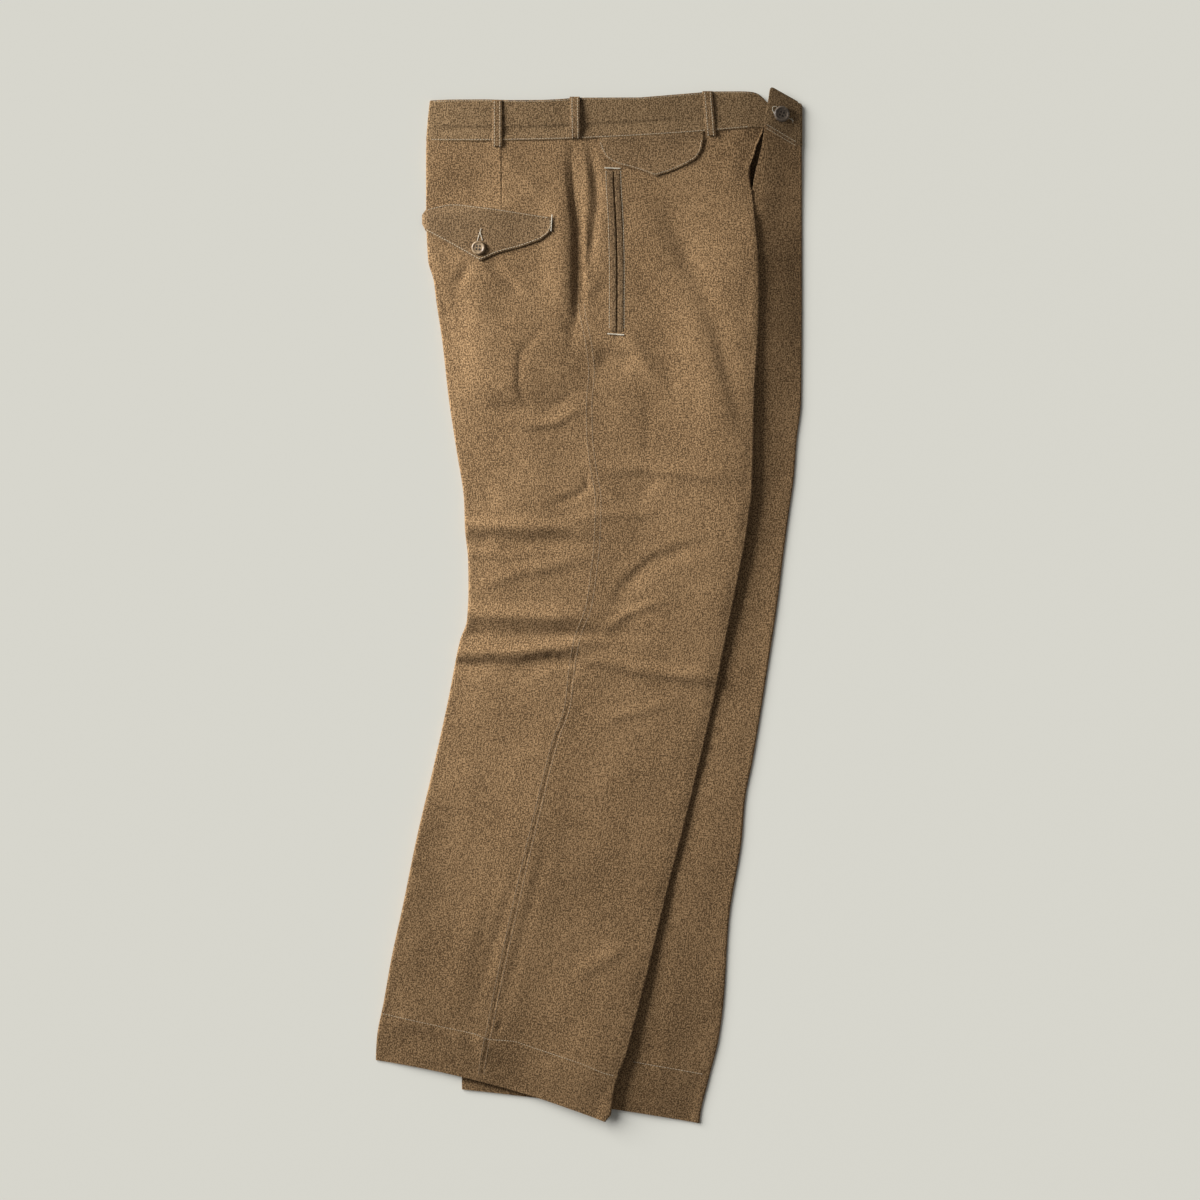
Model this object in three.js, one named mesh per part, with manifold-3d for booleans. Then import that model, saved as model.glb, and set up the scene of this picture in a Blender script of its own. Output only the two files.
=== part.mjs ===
// Chino trousers laid out flat on one side, the right leg on top of the left one.
// Millimetres, +Z up. In the tables x runs across, positive toward the fly, and down runs from the
// waist to the hems. Each leg is two panels that roll round its creases, so that four layers lie on
// each other: left outer on the ground, left inner, right inner and right outer, which shows.

import * as THREE from "three";
import Module from "manifold-3d";
import { mergeVertices } from "three/addons/utils/BufferGeometryUtils.js";

// Driving sizes of the cloth and of how it lies
const CLOTH = 1.2; // one layer of twill with its seam turnings
const DOUBLE_CLOTH = 1.6; // flaps and loops
const BAND_CLOTH = 2.0; // the waistband
const SEAM_GAP = 0.3; // between pieces that are sewn together
const CREASE_RADIUS = 1.4; // half width of the roll at a crease
const GROUND_LAYER = CLOTH / 2; // middle of the cloth on the ground
const RIGHT_GROUND_LAYER = 0.75; // the right back where it reaches the ground
const LEFT_INNER_LAYER = 3.2; // middle of the left leg's upper layer
const RIGHT_INNER_LAYER = 4.8; // middle of the right leg's lower layer
const CREASE_DEPTH = 2.8; // between the right leg's layers at a crease
const LEG_SWELL = 0.6; // and this much more away from the creases
const HIP_LAYER = 5.4; // middle of the top cloth over the hips, where no leg lies between
const WAIST_EDGE_LIFT = 2.2; // how much higher the left edge stands at the waist
const FLY_LIFT = 8.2; // how high the free edge of the fly stands off
const FLY_LAP_DOWN = 104; // here the right crease comes over the fly
const CROTCH_DOWN = 318; // level of the crotch point
const HIP_SWELL = 0.9; // how much fuller the hips are below the waistband
const BACK_CREASE_PUFF = 1.7; // the right back crease stands this much fuller than pressed flat
const FLY_DIP = 1.2; // how much the top cloth drops at its edge in the fly's gap
const LAP_RISE = 4.6; // how much it rises toward the lap
const FOLD_FADE = 0.3; // part of a fold's length over which each end dies away
const FOLD_START = -0.12; // what is left of its height at the very end, as an earlier start
const LEAN_LENGTH = 40; // the fly's rows lean up over this length

// Where a height changes: from and to, in distance down or in distance from the edge it is named for
const spans = {
  waistSettles: [60, 150],
  flyLies: [56, FLY_LAP_DOWN],
  flyTop: [90, 110],
  flyLength: [170, 200],
  backStarts: [150, 180],
  creaseRise: [-42, -3],
  topCreaseRise: [-120, -2],
  hipsToLegs: [262, CROTCH_DOWN],
  seamBeneath: [0, 28],
  lapBegins: [90, 118],
  hipSwell: [58, 120],
  flyDip: [2, 26],
  flyDipEnds: [84, 110],
  lapRise: [0, 90],
  lapRiseBegins: [46, FLY_LAP_DOWN],
  softBack: [-20, 95],
  softFront: [-25, 125],
  softLap: [90, 190],
  softLegs: [205, 358],
  swell: [0, 24],
};

// The right leg's outline and seam as seen from above: x at each distance down from the waist
const rightBackEdge = [
  { down: 0, x: -168.6 }, { down: 32, x: -171.4 }, { down: 66, x: -173.6 }, { down: 125, x: -173.6 },
  { down: 180, x: -171.4 }, { down: 201, x: -165.6 }, { down: 223, x: -162.8 },
  { down: 265, x: -156.5 }, { down: 329, x: -149.2 }, { down: 382, x: -141.2 },
  { down: 435, x: -133.3 }, { down: 466, x: -132.2 }, { down: 498, x: -129 },
  { down: 530, x: -128.6 }, { down: 562, x: -130.2 }, { down: 583, x: -137.4 },
  { down: 647, x: -150.2 }, { down: 710, x: -164 }, { down: 795, x: -184 }, { down: 859, x: -197 },
  { down: 922, x: -210.6 }, { down: 965, x: -218.2 }, { down: 1007, x: -226 },
  { down: 1030, x: -227 },
];
const rightFrontEdge = [
  { down: 38, x: 180 }, { down: 48.8, x: 178 }, { down: 52, x: 176.4 }, { down: 58.3, x: 172.6 },
  { down: 66, x: 170.4 }, { down: 73, x: 168.5 }, { down: 81, x: 167.2 }, { down: 90, x: 167 },
  { down: 100, x: 169 }, { down: 106, x: 170.6 },
  { down: 129, x: 173.2 }, { down: 170, x: 177.4 }, { down: 218, x: 178.6 },
  { down: 267, x: 177.2 }, { down: 316, x: 173.9 }, { down: 365, x: 172.8 },
  { down: 423, x: 171.2 }, { down: 459, x: 167 }, { down: 494, x: 161.2 }, { down: 529, x: 154.4 },
  { down: 590, x: 142 }, { down: 647, x: 131 }, { down: 694, x: 120.4 }, { down: 766, x: 103.2 },
  { down: 840, x: 84 }, { down: 884, x: 73.3 }, { down: 949, x: 57.5 }, { down: 992, x: 46.2 },
  { down: 1021, x: 38.6 }, { down: 1041, x: 30.6 }, { down: 1062, x: 24.6 },
  { down: 1086, x: 21.6 }, { down: 1093, x: 16 },
];
const rightOutseam = [
  { down: 52, x: -20 }, { down: 108, x: -18 }, { down: 141, x: -12.7 }, { down: 223, x: -11 },
  { down: 276, x: -2.1 }, { down: 299, x: 0 }, { down: 332, x: -2.6 }, { down: 365, x: -2.1 },
  { down: 396, x: 1.1 }, { down: 435, x: 7 }, { down: 477, x: 5.8 }, { down: 520, x: 1.1 },
  { down: 547, x: -3 }, { down: 582, x: -15.5 }, { down: 615, x: -21.2 }, { down: 652, x: -25.4 },
  { down: 690, x: -38.5 }, { down: 756, x: -55.1 }, { down: 808, x: -67.8 },
  { down: 898, x: -88 }, { down: 987, x: -106.5 }, { down: 1050, x: -117 },
];

// How far the right back wraps under its crease to the seat seam, and how much further in the left
// leg's back crease lies
const seatWrap = [
  { down: 0, x: 4.5 }, { down: 150, x: 4.5 }, { down: 185, x: 10.5 }, { down: 200, x: 18 },
  { down: 223, x: 29 }, { down: 267, x: 62 }, { down: 300, x: 106 }, { down: 318, x: 155 },
];
const leftBackInset = [
  { down: 0, x: 5 }, { down: 150, x: 5 }, { down: 185, x: 12 }, { down: 223, x: 16 },
  { down: 276, x: 26 }, { down: 329, x: 34 }, { down: 382, x: 38 }, { down: 540, x: 37 },
  { down: 604, x: 49 }, { down: 710, x: 58 }, { down: 806, x: 68 }, { down: 912, x: 78 },
  { down: 965, x: 85 }, { down: 1060, x: 91.5 },
];
// The front rise: the fly's free edge as far as the lap, then the seam that runs to the crotch
const frontRise = [
  { down: 36, x: 184.6 }, { down: 52, x: 183 }, { down: 72, x: 178.8 }, { down: 85, x: 175.6 },
  { down: 95, x: 173.4 }, { down: 104, x: 172.4 }, { down: 115, x: 167 }, { down: 130, x: 164 },
  { down: 176, x: 155 }, { down: 223, x: 130 }, { down: 267, x: 85 }, { down: 300, x: 40 },
  { down: 318, x: 6 },
];
const inseam = [
  { down: 318, x: 6 }, { down: 435, x: 12 }, { down: 540, x: 4 }, { down: 615, x: -14 },
  { down: 690, x: -32 }, { down: 808, x: -61 }, { down: 898, x: -81 }, { down: 1050, x: -110 },
  { down: 1080, x: -112 },
];

// The left leg's front crease and outseam
const leftFrontEdge = [
  { down: 0, x: 224.4 }, { down: 223, x: 224.4 }, { down: 329, x: 223.6 }, { down: 371, x: 218.8 },
  { down: 413, x: 215.6 }, { down: 435, x: 212.5 }, { down: 466, x: 208.2 },
  { down: 498, x: 204 }, { down: 541, x: 198.8 }, { down: 604, x: 189.4 }, { down: 710, x: 172.3 },
  { down: 753, x: 164 }, { down: 795, x: 160.5 }, { down: 880, x: 147 }, { down: 965, x: 141.4 },
  { down: 1007, x: 136 }, { down: 1049, x: 125.6 }, { down: 1096, x: 116 },
];
const leftOutseam = [
  { down: 52, x: 20 }, { down: 318, x: 30 }, { down: 540, x: 40 }, { down: 710, x: 20 },
  { down: 900, x: -5 }, { down: 1080, x: -20 },
];

// Rows of points across each leg. back, seam and front are distances down at the back crease, the
// outseam and the front crease; lean lifts the fly's end of the row; steps lead to the next row
const rightRows = [
  { name: "waist seam", back: 53, seam: 51.5, front: 38, steps: 2 },
  { name: "below the band", back: 68, seam: 68, front: 62, steps: 1 },
  { name: "fly gap", back: 81, seam: 81, front: 81, steps: 2 },
  { name: "fly lap", back: 104, seam: 104, front: 104, steps: 2 },
  { name: "back flap", back: 132, seam: 132, front: 130, steps: 3 },
  { name: "side pocket", back: 180, seam: 181, front: 176, steps: 3 },
  { name: "hip", back: 223, seam: 223, front: 218, steps: 3 },
  { name: "pocket end", back: 276, seam: 276, front: 267, steps: 3 },
  { name: "crotch", back: 318, seam: 318, front: 316, steps: 4 },
  { name: "thigh", back: 382, seam: 382, front: 374, steps: 3 },
  { name: "low thigh", back: 434, seam: 434, front: 424, steps: 2 },
  { name: "above the knee", back: 453, seam: 454, front: 446, steps: 5 },
  { name: "first knee fold", back: 485, seam: 487, front: 480, steps: 4 },
  { name: "knee", back: 535, seam: 537, front: 530, steps: 9 },
  { name: "last knee fold", back: 610, seam: 616, front: 617, steps: 2 },
  { name: "shin", back: 638, seam: 646, front: 650, steps: 2 },
  { name: "calf", back: 733, seam: 747, front: 760, steps: 4 },
  { name: "low calf", back: 904, seam: 928, front: 953, steps: 2 },
  { name: "hem stitch", back: 980, seam: 1006, front: 1045, steps: 1 },
  { name: "hem", back: 1029, seam: 1051, front: 1093, steps: 0 },
];
const leftRows = [
  { name: "waist seam", back: 55, seam: 56, front: 60.2, lean: -21, steps: 1 },
  { name: "fly top", back: 74, seam: 75, front: 75, lean: -13, steps: 1 },
  { name: "fly middle", back: 88, seam: 88, front: 88, lean: -7, steps: 1 },
  { name: "fly foot", back: 98, seam: 98, front: 98, lean: -3, steps: 1 },
  { name: "below the fly", back: 106, seam: 106, front: 106, lean: 0, steps: 1 },
  { name: "front seam", back: 118, seam: 118, front: 118, lean: 0, steps: 1 },
  { name: "hip", back: 150, seam: 150, front: 150, lean: 0, steps: 1 },
  { name: "crease starts", back: 170, seam: 170, front: 170, lean: 0, steps: 1 },
  { name: "crease", back: 185, seam: 185, front: 185, lean: 0, steps: 1 },
  { name: "seat", back: 223, seam: 223, front: 223, lean: 0, steps: 1 },
  { name: "pocket end", back: 267, seam: 267, front: 267, lean: 0, steps: 1 },
  { name: "above crotch", back: 300, seam: 300, front: 300, lean: 0, steps: 1 },
  { name: "crotch", back: 318, seam: 318, front: 318, lean: 0, steps: 3 },
  { name: "thigh", back: 434, seam: 434, front: 434, lean: 0, steps: 2 },
  { name: "knee", back: 540, seam: 543, front: 548, lean: 0, steps: 3 },
  { name: "calf", back: 760, seam: 768, front: 780, lean: 0, steps: 3 },
  { name: "hem", back: 1060, seam: 1074, front: 1096, lean: 0, steps: 0 },
];

// Largest folds of the cloth on top. A fold runs through its points; rise is its height, below zero
// for a trough; waistSide and hemSide are its widths on the two sides of that line
const topFolds = [
  { name: "valley behind the outseam", rise: -4, waistSide: 14, hemSide: 13,
    points: [[-18, 57], [-16, 95], [-13, 133], [-12, 166], [-12, 212], [-15, 249], [-23, 270]] },
  { name: "valley before the outseam", rise: -2.2, waistSide: 13, hemSide: 8,
    points: [[1, 53], [5, 90], [5, 148], [4, 191]] },
  { name: "seat hollow", rise: -2.4, waistSide: 46, hemSide: 12,
    points: [[-201, 123], [-143, 120], [-90, 113]] },
  { name: "below the back flap", rise: 2.2, waistSide: 26, hemSide: 24,
    points: [[-119, 189], [-119, 254], [-111, 318]] },
  { name: "pocket bag slope", rise: 4.6, waistSide: 62, hemSide: 60,
    points: [[-73, 249], [-82, 292], [-78, 334]] },
  { name: "below the pocket bag", rise: 2, waistSide: 11, hemSide: 8,
    points: [[-127, 324], [-112, 334], [-92, 350], [-67, 357], [-37, 354], [-7, 337]] },
  { name: "front drag", rise: 2.2, waistSide: 20, hemSide: 34,
    points: [[45, 112], [74, 164], [99, 223], [119, 276], [138, 339], [155, 403]] },
  { name: "trough beside the drag", rise: -1.3, waistSide: 18, hemSide: 12,
    points: [[83, 129], [104, 175], [123, 214], [136, 254], [146, 297], [157, 339]] },
  { name: "below the side pocket", rise: 1.8, waistSide: 12, hemSide: 12,
    points: [[36, 258], [51, 276], [69, 305]] },
  { name: "hollow under the side pocket", rise: -2.8, waistSide: 10, hemSide: 26,
    points: [[6, 278], [48, 288]] },
  { name: "front band", rise: 2.2, waistSide: 16, hemSide: 9,
    points: [[11, 403], [53, 401], [95, 407], [154, 413]] },
  { name: "first knee ridge", rise: 3.6, waistSide: 15, hemSide: 12,
    points: [[-170, 463], [-74, 464], [-19, 464], [2, 470]] },
  { name: "first knee trough", rise: -1.4, waistSide: 6, hemSide: 14,
    points: [[-170, 478], [-74, 479], [-18, 478], [0, 485]] },
  { name: "small knee fold", rise: 1.6, waistSide: 12, hemSide: 10,
    points: [[-119, 526], [-77, 512], [-14, 499], [2, 494]] },
  { name: "fan trough", rise: -2, waistSide: 8, hemSide: 18,
    points: [[23, 547], [36, 524], [64, 499], [95, 487], [129, 478]] },
  { name: "fan ridge", rise: 2, waistSide: 8, hemSide: 9, points: [[15, 570], [42, 553], [76, 541]] },
  { name: "main knee ridge", rise: 4.6, waistSide: 17, hemSide: 14,
    points: [[-170, 556], [-64, 559], [-13, 560], [13, 568]] },
  { name: "main knee trough", rise: -1.8, waistSide: 8, hemSide: 7,
    points: [[-170, 577], [-64, 578], [-11, 577], [17, 581]] },
  { name: "second knee ridge", rise: 4, waistSide: 10, hemSide: 13,
    points: [[-175, 596], [-74, 596], [-32, 591], [11, 585]] },
  { name: "last knee trough", rise: -2.2, waistSide: 7, hemSide: 14,
    points: [[-180, 606], [-95, 611], [-61, 612], [-45, 603]] },
  { name: "last knee ridge, front end", rise: 3.4, waistSide: 13, hemSide: 10,
    points: [[-26, 596], [16, 606], [53, 615], [95, 621], [143, 626]] },
  { name: "over the left back crease", rise: 1.2, waistSide: 14, hemSide: 20,
    points: [[-117, 848], [-127, 901], [-140, 965]] },
  { name: "low back hollow", rise: -2.4, waistSide: 24, hemSide: 32,
    points: [[-167, 816], [-182, 922]] },
  { name: "hem front fold", rise: 1.4, waistSide: 12, hemSide: 12, points: [[-16, 938], [37, 909]] },
];

// How much the right leg's front crease stands up off the left leg
const creaseLift = [
  { down: FLY_LAP_DOWN, x: 2.4 }, { down: 130, x: 5 }, { down: 160, x: 6.4 }, { down: 223, x: 7 },
  { down: 350, x: 6.6 }, { down: 450, x: 5 }, { down: 550, x: 3.4 }, { down: 650, x: 1.8 },
  { down: 750, x: 1.6 }, { down: 850, x: 2.6 }, { down: 960, x: 5 }, { down: 1040, x: 6.8 },
  { down: 1093, x: 7 },
];

// A smooth curve through a table's points, without overshoot
function track(table) {
  const slopes = table.map((point, i) => {
    if (i === 0 || i === table.length - 1) {
      return 0;
    }
    const before = (point.x - table[i - 1].x) / (point.down - table[i - 1].down);
    const after = (table[i + 1].x - point.x) / (table[i + 1].down - point.down);
    return before * after <= 0 ? 0 : (2 * before * after) / (before + after);
  });
  return (down) => {
    const last = table.length - 1;
    const held = THREE.MathUtils.clamp(down, table[0].down, table[last].down);
    const found = table.findIndex((point) => point.down >= held);
    const end = Math.max(found, 1);
    const a = table[end - 1];
    const b = table[end];
    const span = b.down - a.down;
    const t = (held - a.down) / span;
    const easeOut = t * t * (3 - 2 * t);
    const startSlope = t * (1 - t) * (1 - t) * span * slopes[end - 1];
    const endSlope = t * t * (t - 1) * span * slopes[end];
    return a.x + (b.x - a.x) * easeOut + startSlope + endSlope;
  };
}

// Straight lines through a table's points
function straight(table) {
  return (x) => {
    const found = table.findIndex(([at]) => at >= x);
    const end = found < 0 ? table.length - 1 : Math.max(found, 1);
    const [x0, value0] = table[end - 1];
    const [x1, value1] = table[end];
    const t = THREE.MathUtils.clamp((x - x0) / (x1 - x0), 0, 1);
    return value0 + (value1 - value0) * t;
  };
}

const ease = (value, [from, to]) => THREE.MathUtils.smoothstep(value, from, to);
const mix = THREE.MathUtils.lerp;

const rightBackAt = track(rightBackEdge);
const rightFrontAt = track(rightFrontEdge);
const rightOutseamAt = track(rightOutseam);
const seatWrapAt = track(seatWrap);
const leftInsetAt = track(leftBackInset);
const frontRiseAt = track(frontRise);
const inseamAt = track(inseam);
const leftFrontAt = track(leftFrontEdge);
const leftOutseamAt = track(leftOutseam);
const creaseLiftAt = track(creaseLift);
const leftBackAt = (down) => rightBackAt(down) + leftInsetAt(down);

// Where the lower run of each panel ends: at the rise above the crotch, at the inseam below it
function backEnd(down) {
  return down < CROTCH_DOWN ? rightBackAt(down) + seatWrapAt(down) : inseamAt(down);
}
function frontEnd(down) {
  return down < CROTCH_DOWN ? frontRiseAt(down) : inseamAt(down);
}

// Height of one fold at a point of the plan
function foldHeight(fold, x, down) {
  let nearest = Infinity;
  let along = 0;
  let side = 1;
  let walked = 0;
  let length = 0;
  for (let i = 1; i < fold.points.length; i += 1) {
    const [ax, ad] = fold.points[i - 1];
    const [bx, bd] = fold.points[i];
    const span = Math.hypot(bx - ax, bd - ad);
    const t = THREE.MathUtils.clamp(((x - ax) * (bx - ax) + (down - ad) * (bd - ad)) / span ** 2, 0, 1);
    const away = Math.hypot(x - ax - t * (bx - ax), down - ad - t * (bd - ad));
    if (away < nearest) {
      nearest = away;
      along = walked + t * span;
      side = (bx - ax) * (down - ad) - (bd - ad) * (x - ax);
    }
    walked += span;
    length = walked;
  }
  const width = side < 0 ? fold.waistSide : fold.hemSide;
  if (nearest >= width) {
    return 0;
  }
  const fade = [FOLD_START, FOLD_FADE];
  const ends = ease(along / length, fade) * ease(1 - along / length, fade);
  return fold.rise * ends * (1 - (nearest / width) ** 2) ** 2;
}

// Heights of the middle of each layer
function leftOuter() {
  return GROUND_LAYER;
}
const FLY_EDGE_X = 184; // the fly's free edge, and where its cloth starts to rise toward it
const FLY_ROOT_X = 222;
function leftInner(x, down) {
  const waist = WAIST_EDGE_LIFT * (1 - ease(down, spans.waistSettles));
  const pastFly = ease(down + (x - FLY_EDGE_X) / 2, spans.flyTop);
  const towardFly = THREE.MathUtils.clamp((FLY_ROOT_X - x) / (FLY_ROOT_X - FLY_EDGE_X), 0, 1);
  const fly = FLY_LIFT * towardFly * (1 - ease(down, spans.flyLies));
  const edge = mix(1, ease(x, spans.flyLength), pastFly);
  return LEFT_INNER_LAYER + waist * edge + fly;
}
function rightInner(x, down) {
  const inside = x - rightBackAt(down);
  const onLeftLeg = ease(inside, [3, leftInsetAt(down) - 4]);
  const started = x < 0 ? ease(down, spans.backStarts) : 1;
  const lift = creaseLiftAt(down) * ease(x - rightFrontAt(down), spans.creaseRise);
  return mix(RIGHT_GROUND_LAYER, RIGHT_INNER_LAYER, onLeftLeg * started) + lift;
}
// How fully the inner layers lie under the top cloth: not at all in the middle of the hips
function covered(x, down) {
  const fromBack = x - rightBackAt(down) - seatWrapAt(down);
  const fromFront = down > FLY_LAP_DOWN ? frontRiseAt(down) - x : Infinity;
  const atBack = 1 - ease(fromBack, spans.seamBeneath);
  const atFront = 1 - ease(fromFront, spans.seamBeneath);
  return Math.max(atBack, atFront * ease(down, spans.lapBegins), ease(down, spans.hipsToLegs));
}
// The same for the top cloth, which passes smoothly over the edges of those layers
function softCover(x, down) {
  const fromBack = x - rightBackAt(down) - seatWrapAt(down);
  const fromFront = frontRiseAt(down) - x;
  const atBack = 1 - ease(fromBack, spans.softBack);
  const atFront = (1 - ease(fromFront, spans.softFront)) * ease(down, spans.softLap);
  return 1 - (1 - atBack) * (1 - atFront) * (1 - ease(down, spans.softLegs));
}
// A smoother run of the top cloth over the layers below, without its folds
function topBase(x, down) {
  const inside = x - rightBackAt(down);
  const onLeftLeg = ease(inside, [-12, leftInsetAt(down) + 46]);
  const started = x < 0 ? ease(down, spans.backStarts) : 1;
  const lift = creaseLiftAt(down) * ease(x - rightFrontAt(down), spans.topCreaseRise);
  return mix(RIGHT_GROUND_LAYER + BACK_CREASE_PUFF, RIGHT_INNER_LAYER, onLeftLeg * started) + lift;
}
function rightOuter(x, down) {
  const fromBack = x - rightBackAt(down);
  const fromFront = rightFrontAt(down) - x;
  const cover = covered(x, down);
  const swell = LEG_SWELL * ease(Math.min(fromBack, fromFront), spans.swell);
  const onLegs = topBase(x, down) + CREASE_DEPTH + swell;
  const flyDip = FLY_DIP * (1 - ease(fromFront, spans.flyDip)) * (1 - ease(down, spans.flyDipEnds));
  const lapRise = LAP_RISE * (1 - ease(fromFront, spans.lapRise)) * ease(down, spans.lapRiseBegins);
  const onHips = HIP_LAYER + HIP_SWELL * ease(down, spans.hipSwell) - flyDip + lapRise;
  let height = mix(onHips, onLegs, softCover(x, down));
  for (const fold of topFolds) {
    height += foldHeight(fold, x, down);
  }
  const lowest = mix(GROUND_LAYER + CLOTH + 0.6, rightInner(x, down) + CLOTH + 0.5, cover);
  return Math.max(height, lowest);
}

// Rows of a leg: each joins its back crease, outseam and front crease by a parabola
function makeRows(table, backAt, seamAt, frontAt) {
  const rows = [];
  table.forEach((row, i) => {
    const next = table[i + 1] ?? row;
    for (let step = 0; step < Math.max(row.steps, 1); step += 1) {
      const t = step / Math.max(row.steps, 1);
      const level = (column) => mix(row[column], next[column], t);
      rows.push({
        back: { x: backAt(level("back")), down: level("back") },
        seam: { x: seamAt(level("seam")), down: level("seam") },
        front: { x: frontAt(level("front")), down: level("front") },
        lean: row.lean === undefined ? 0 : level("lean"),
      });
    }
  });
  return rows;
}
function rowDown(row, x) {
  const { back, seam, front } = row;
  const atBack = ((x - seam.x) * (x - front.x)) / ((back.x - seam.x) * (back.x - front.x));
  const atSeam = ((x - back.x) * (x - front.x)) / ((seam.x - back.x) * (seam.x - front.x));
  const atFront = ((x - back.x) * (x - seam.x)) / ((front.x - back.x) * (front.x - seam.x));
  return back.down * atBack + seam.down * atSeam + front.down * atFront;
}
function runEnd(row, endAt) {
  let x = endAt(row.seam.down);
  for (let pass = 0; pass < 6; pass += 1) {
    x = endAt(rowDown(row, x) + endLean(row, x));
  }
  return x;
}
function endLean(row, x) {
  return row.lean * THREE.MathUtils.clamp((row.front.x - x) / LEAN_LENGTH, 0, 1);
}

const plan = (x, down, height) => new THREE.Vector3(x, -down, height);

// One row of a panel: a run from the outseam to the crease, the roll, and the run back on the other
// layer. side is -1 for the back panel and 1 for the front one
function panelRow(row, panel) {
  const { side, first, second, endAt, turn, runSteps, rollSteps, endSteps, restAt } = panel;
  const edge = side < 0 ? row.back : row.front;
  const start = row.seam.x + (side * SEAM_GAP) / 2;
  const corner = edge.x - side * CREASE_RADIUS;
  const points = [];
  for (let i = 0; i <= runSteps; i += 1) {
    const x = mix(start, corner, (i / runSteps) ** panel.bunching);
    const down = rowDown(row, x);
    points.push(plan(x, down, first(x, down)));
  }
  const cornerDown = rowDown(row, corner);
  const from = first(corner, cornerDown);
  const to = second(corner, cornerDown);
  const angle = Math.PI * turn(edge.down);
  const whole = angle > Math.PI * 0.999;
  const rollCount = whole ? rollSteps : rollSteps + endSteps;
  for (let i = 1; i <= rollCount; i += 1) {
    const a = (angle * i) / rollCount;
    const height = (from + to) / 2 + ((from - to) / 2) * Math.cos(a);
    points.push(plan(corner + side * CREASE_RADIUS * Math.sin(a), cornerDown, height));
  }
  if (whole) {
    const end = runEnd(row, endAt) + (side * SEAM_GAP) / 2;
    const rest = restAt(edge.down);
    const settles = Math.abs(end - corner) > rest + 4;
    for (let i = 1; i <= endSteps; i += 1) {
      const settled = mix(corner - side * rest, end, (i - 2) / (endSteps - 2));
      const x = settles ? (i === 1 ? corner - side * 2 : settled) : mix(corner, end, i / endSteps);
      const down = rowDown(row, x) + endLean(row, x);
      points.push(plan(x, down, second(x, down)));
    }
  }
  return points;
}

// A closed wall of cloth round a grid of points, half its thickness to each side. before holds the
// points just past the grid's first column, so that sewn edges face the same way
function wall(grid, thickness, before) {
  const rows = grid.length;
  const columns = grid[0].length;
  const vertices = [];
  const faces = [];
  const across = new THREE.Vector3();
  const along = new THREE.Vector3();
  const normal = new THREE.Vector3();
  for (const side of [1, -1]) {
    for (let r = 0; r < rows; r += 1) {
      for (let c = 0; c < columns; c += 1) {
        const left = c === 0 && before ? before[r] : grid[r][Math.max(c - 1, 0)];
        across.subVectors(grid[r][Math.min(c + 1, columns - 1)], left);
        along.subVectors(grid[Math.min(r + 1, rows - 1)][c], grid[Math.max(r - 1, 0)][c]);
        normal.crossVectors(across, along).normalize();
        const point = grid[r][c].clone().addScaledVector(normal, (side * thickness) / 2);
        vertices.push(point.x, point.y, point.z);
      }
    }
  }
  const outer = (r, c) => r * columns + c;
  const inner = (r, c) => rows * columns + r * columns + c;
  const quad = (a, b, c, d) => faces.push(a, b, c, a, c, d);
  for (let r = 0; r < rows - 1; r += 1) {
    for (let c = 0; c < columns - 1; c += 1) {
      quad(outer(r, c), outer(r, c + 1), outer(r + 1, c + 1), outer(r + 1, c));
      quad(inner(r, c), inner(r + 1, c), inner(r + 1, c + 1), inner(r, c + 1));
    }
  }
  for (let c = 0; c < columns - 1; c += 1) {
    quad(outer(0, c + 1), outer(0, c), inner(0, c), inner(0, c + 1));
    quad(outer(rows - 1, c), outer(rows - 1, c + 1), inner(rows - 1, c + 1), inner(rows - 1, c));
  }
  for (let r = 0; r < rows - 1; r += 1) {
    quad(outer(r, 0), outer(r + 1, 0), inner(r + 1, 0), inner(r, 0));
    quad(outer(r + 1, columns - 1), outer(r, columns - 1), inner(r, columns - 1),
      inner(r + 1, columns - 1));
  }
  const geometry = new THREE.BufferGeometry();
  geometry.setAttribute("position", new THREE.Float32BufferAttribute(vertices, 3));
  geometry.setIndex(faces);
  geometry.computeVertexNormals();
  return geometry;
}

// Colours: main twill, the same twill inside, horn buttons
const twill = { color: 0x836948, roughness: 0.95, metalness: 0 };
const paleHorn = { color: 0x9a8465, roughness: 0.4, metalness: 0 };
const darkHorn = { color: 0x3a2f26, roughness: 0.3, metalness: 0 };

const trousers = new THREE.Group();
function addPiece(name, geometry, look) {
  const mesh = new THREE.Mesh(geometry, new THREE.MeshStandardMaterial(look));
  mesh.name = name;
  trousers.add(mesh);
  return mesh;
}

// The four leg panels
const rightLeg = makeRows(rightRows, rightBackAt, rightOutseamAt, rightFrontAt);
const leftLeg = makeRows(leftRows, leftBackAt, leftOutseamAt, leftFrontAt);
const full = () => 1;
const panels = [
  { name: "right_front", rows: rightLeg, side: 1, first: rightOuter, second: rightInner,
    endAt: frontEnd, turn: (down) => (down < FLY_LAP_DOWN + 1 ? 0.5 : 1),
    restAt: () => 42, runSteps: 14, rollSteps: 3, endSteps: 4, bunching: 1.3 },
  { name: "right_back", rows: rightLeg, side: -1, first: rightOuter, second: rightInner,
    endAt: backEnd, turn: full, restAt: (down) => leftInsetAt(down) - 5.4,
    runSteps: 14, rollSteps: 3, endSteps: 4, bunching: 1.3 },
  { name: "left_front", rows: leftLeg, side: 1, first: leftOuter, second: leftInner,
    endAt: frontEnd, turn: full, restAt: () => Infinity,
    runSteps: 5, rollSteps: 4, endSteps: 7, bunching: 1 },
  { name: "left_back", rows: leftLeg, side: -1, first: leftOuter, second: leftInner,
    endAt: backEnd, turn: (down) => (down < 184 ? 0.2 : 1), restAt: () => Infinity,
    runSteps: 4, rollSteps: 4, endSteps: 5, bunching: 1 },
];
const PAST_SEAM = 4;
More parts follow.
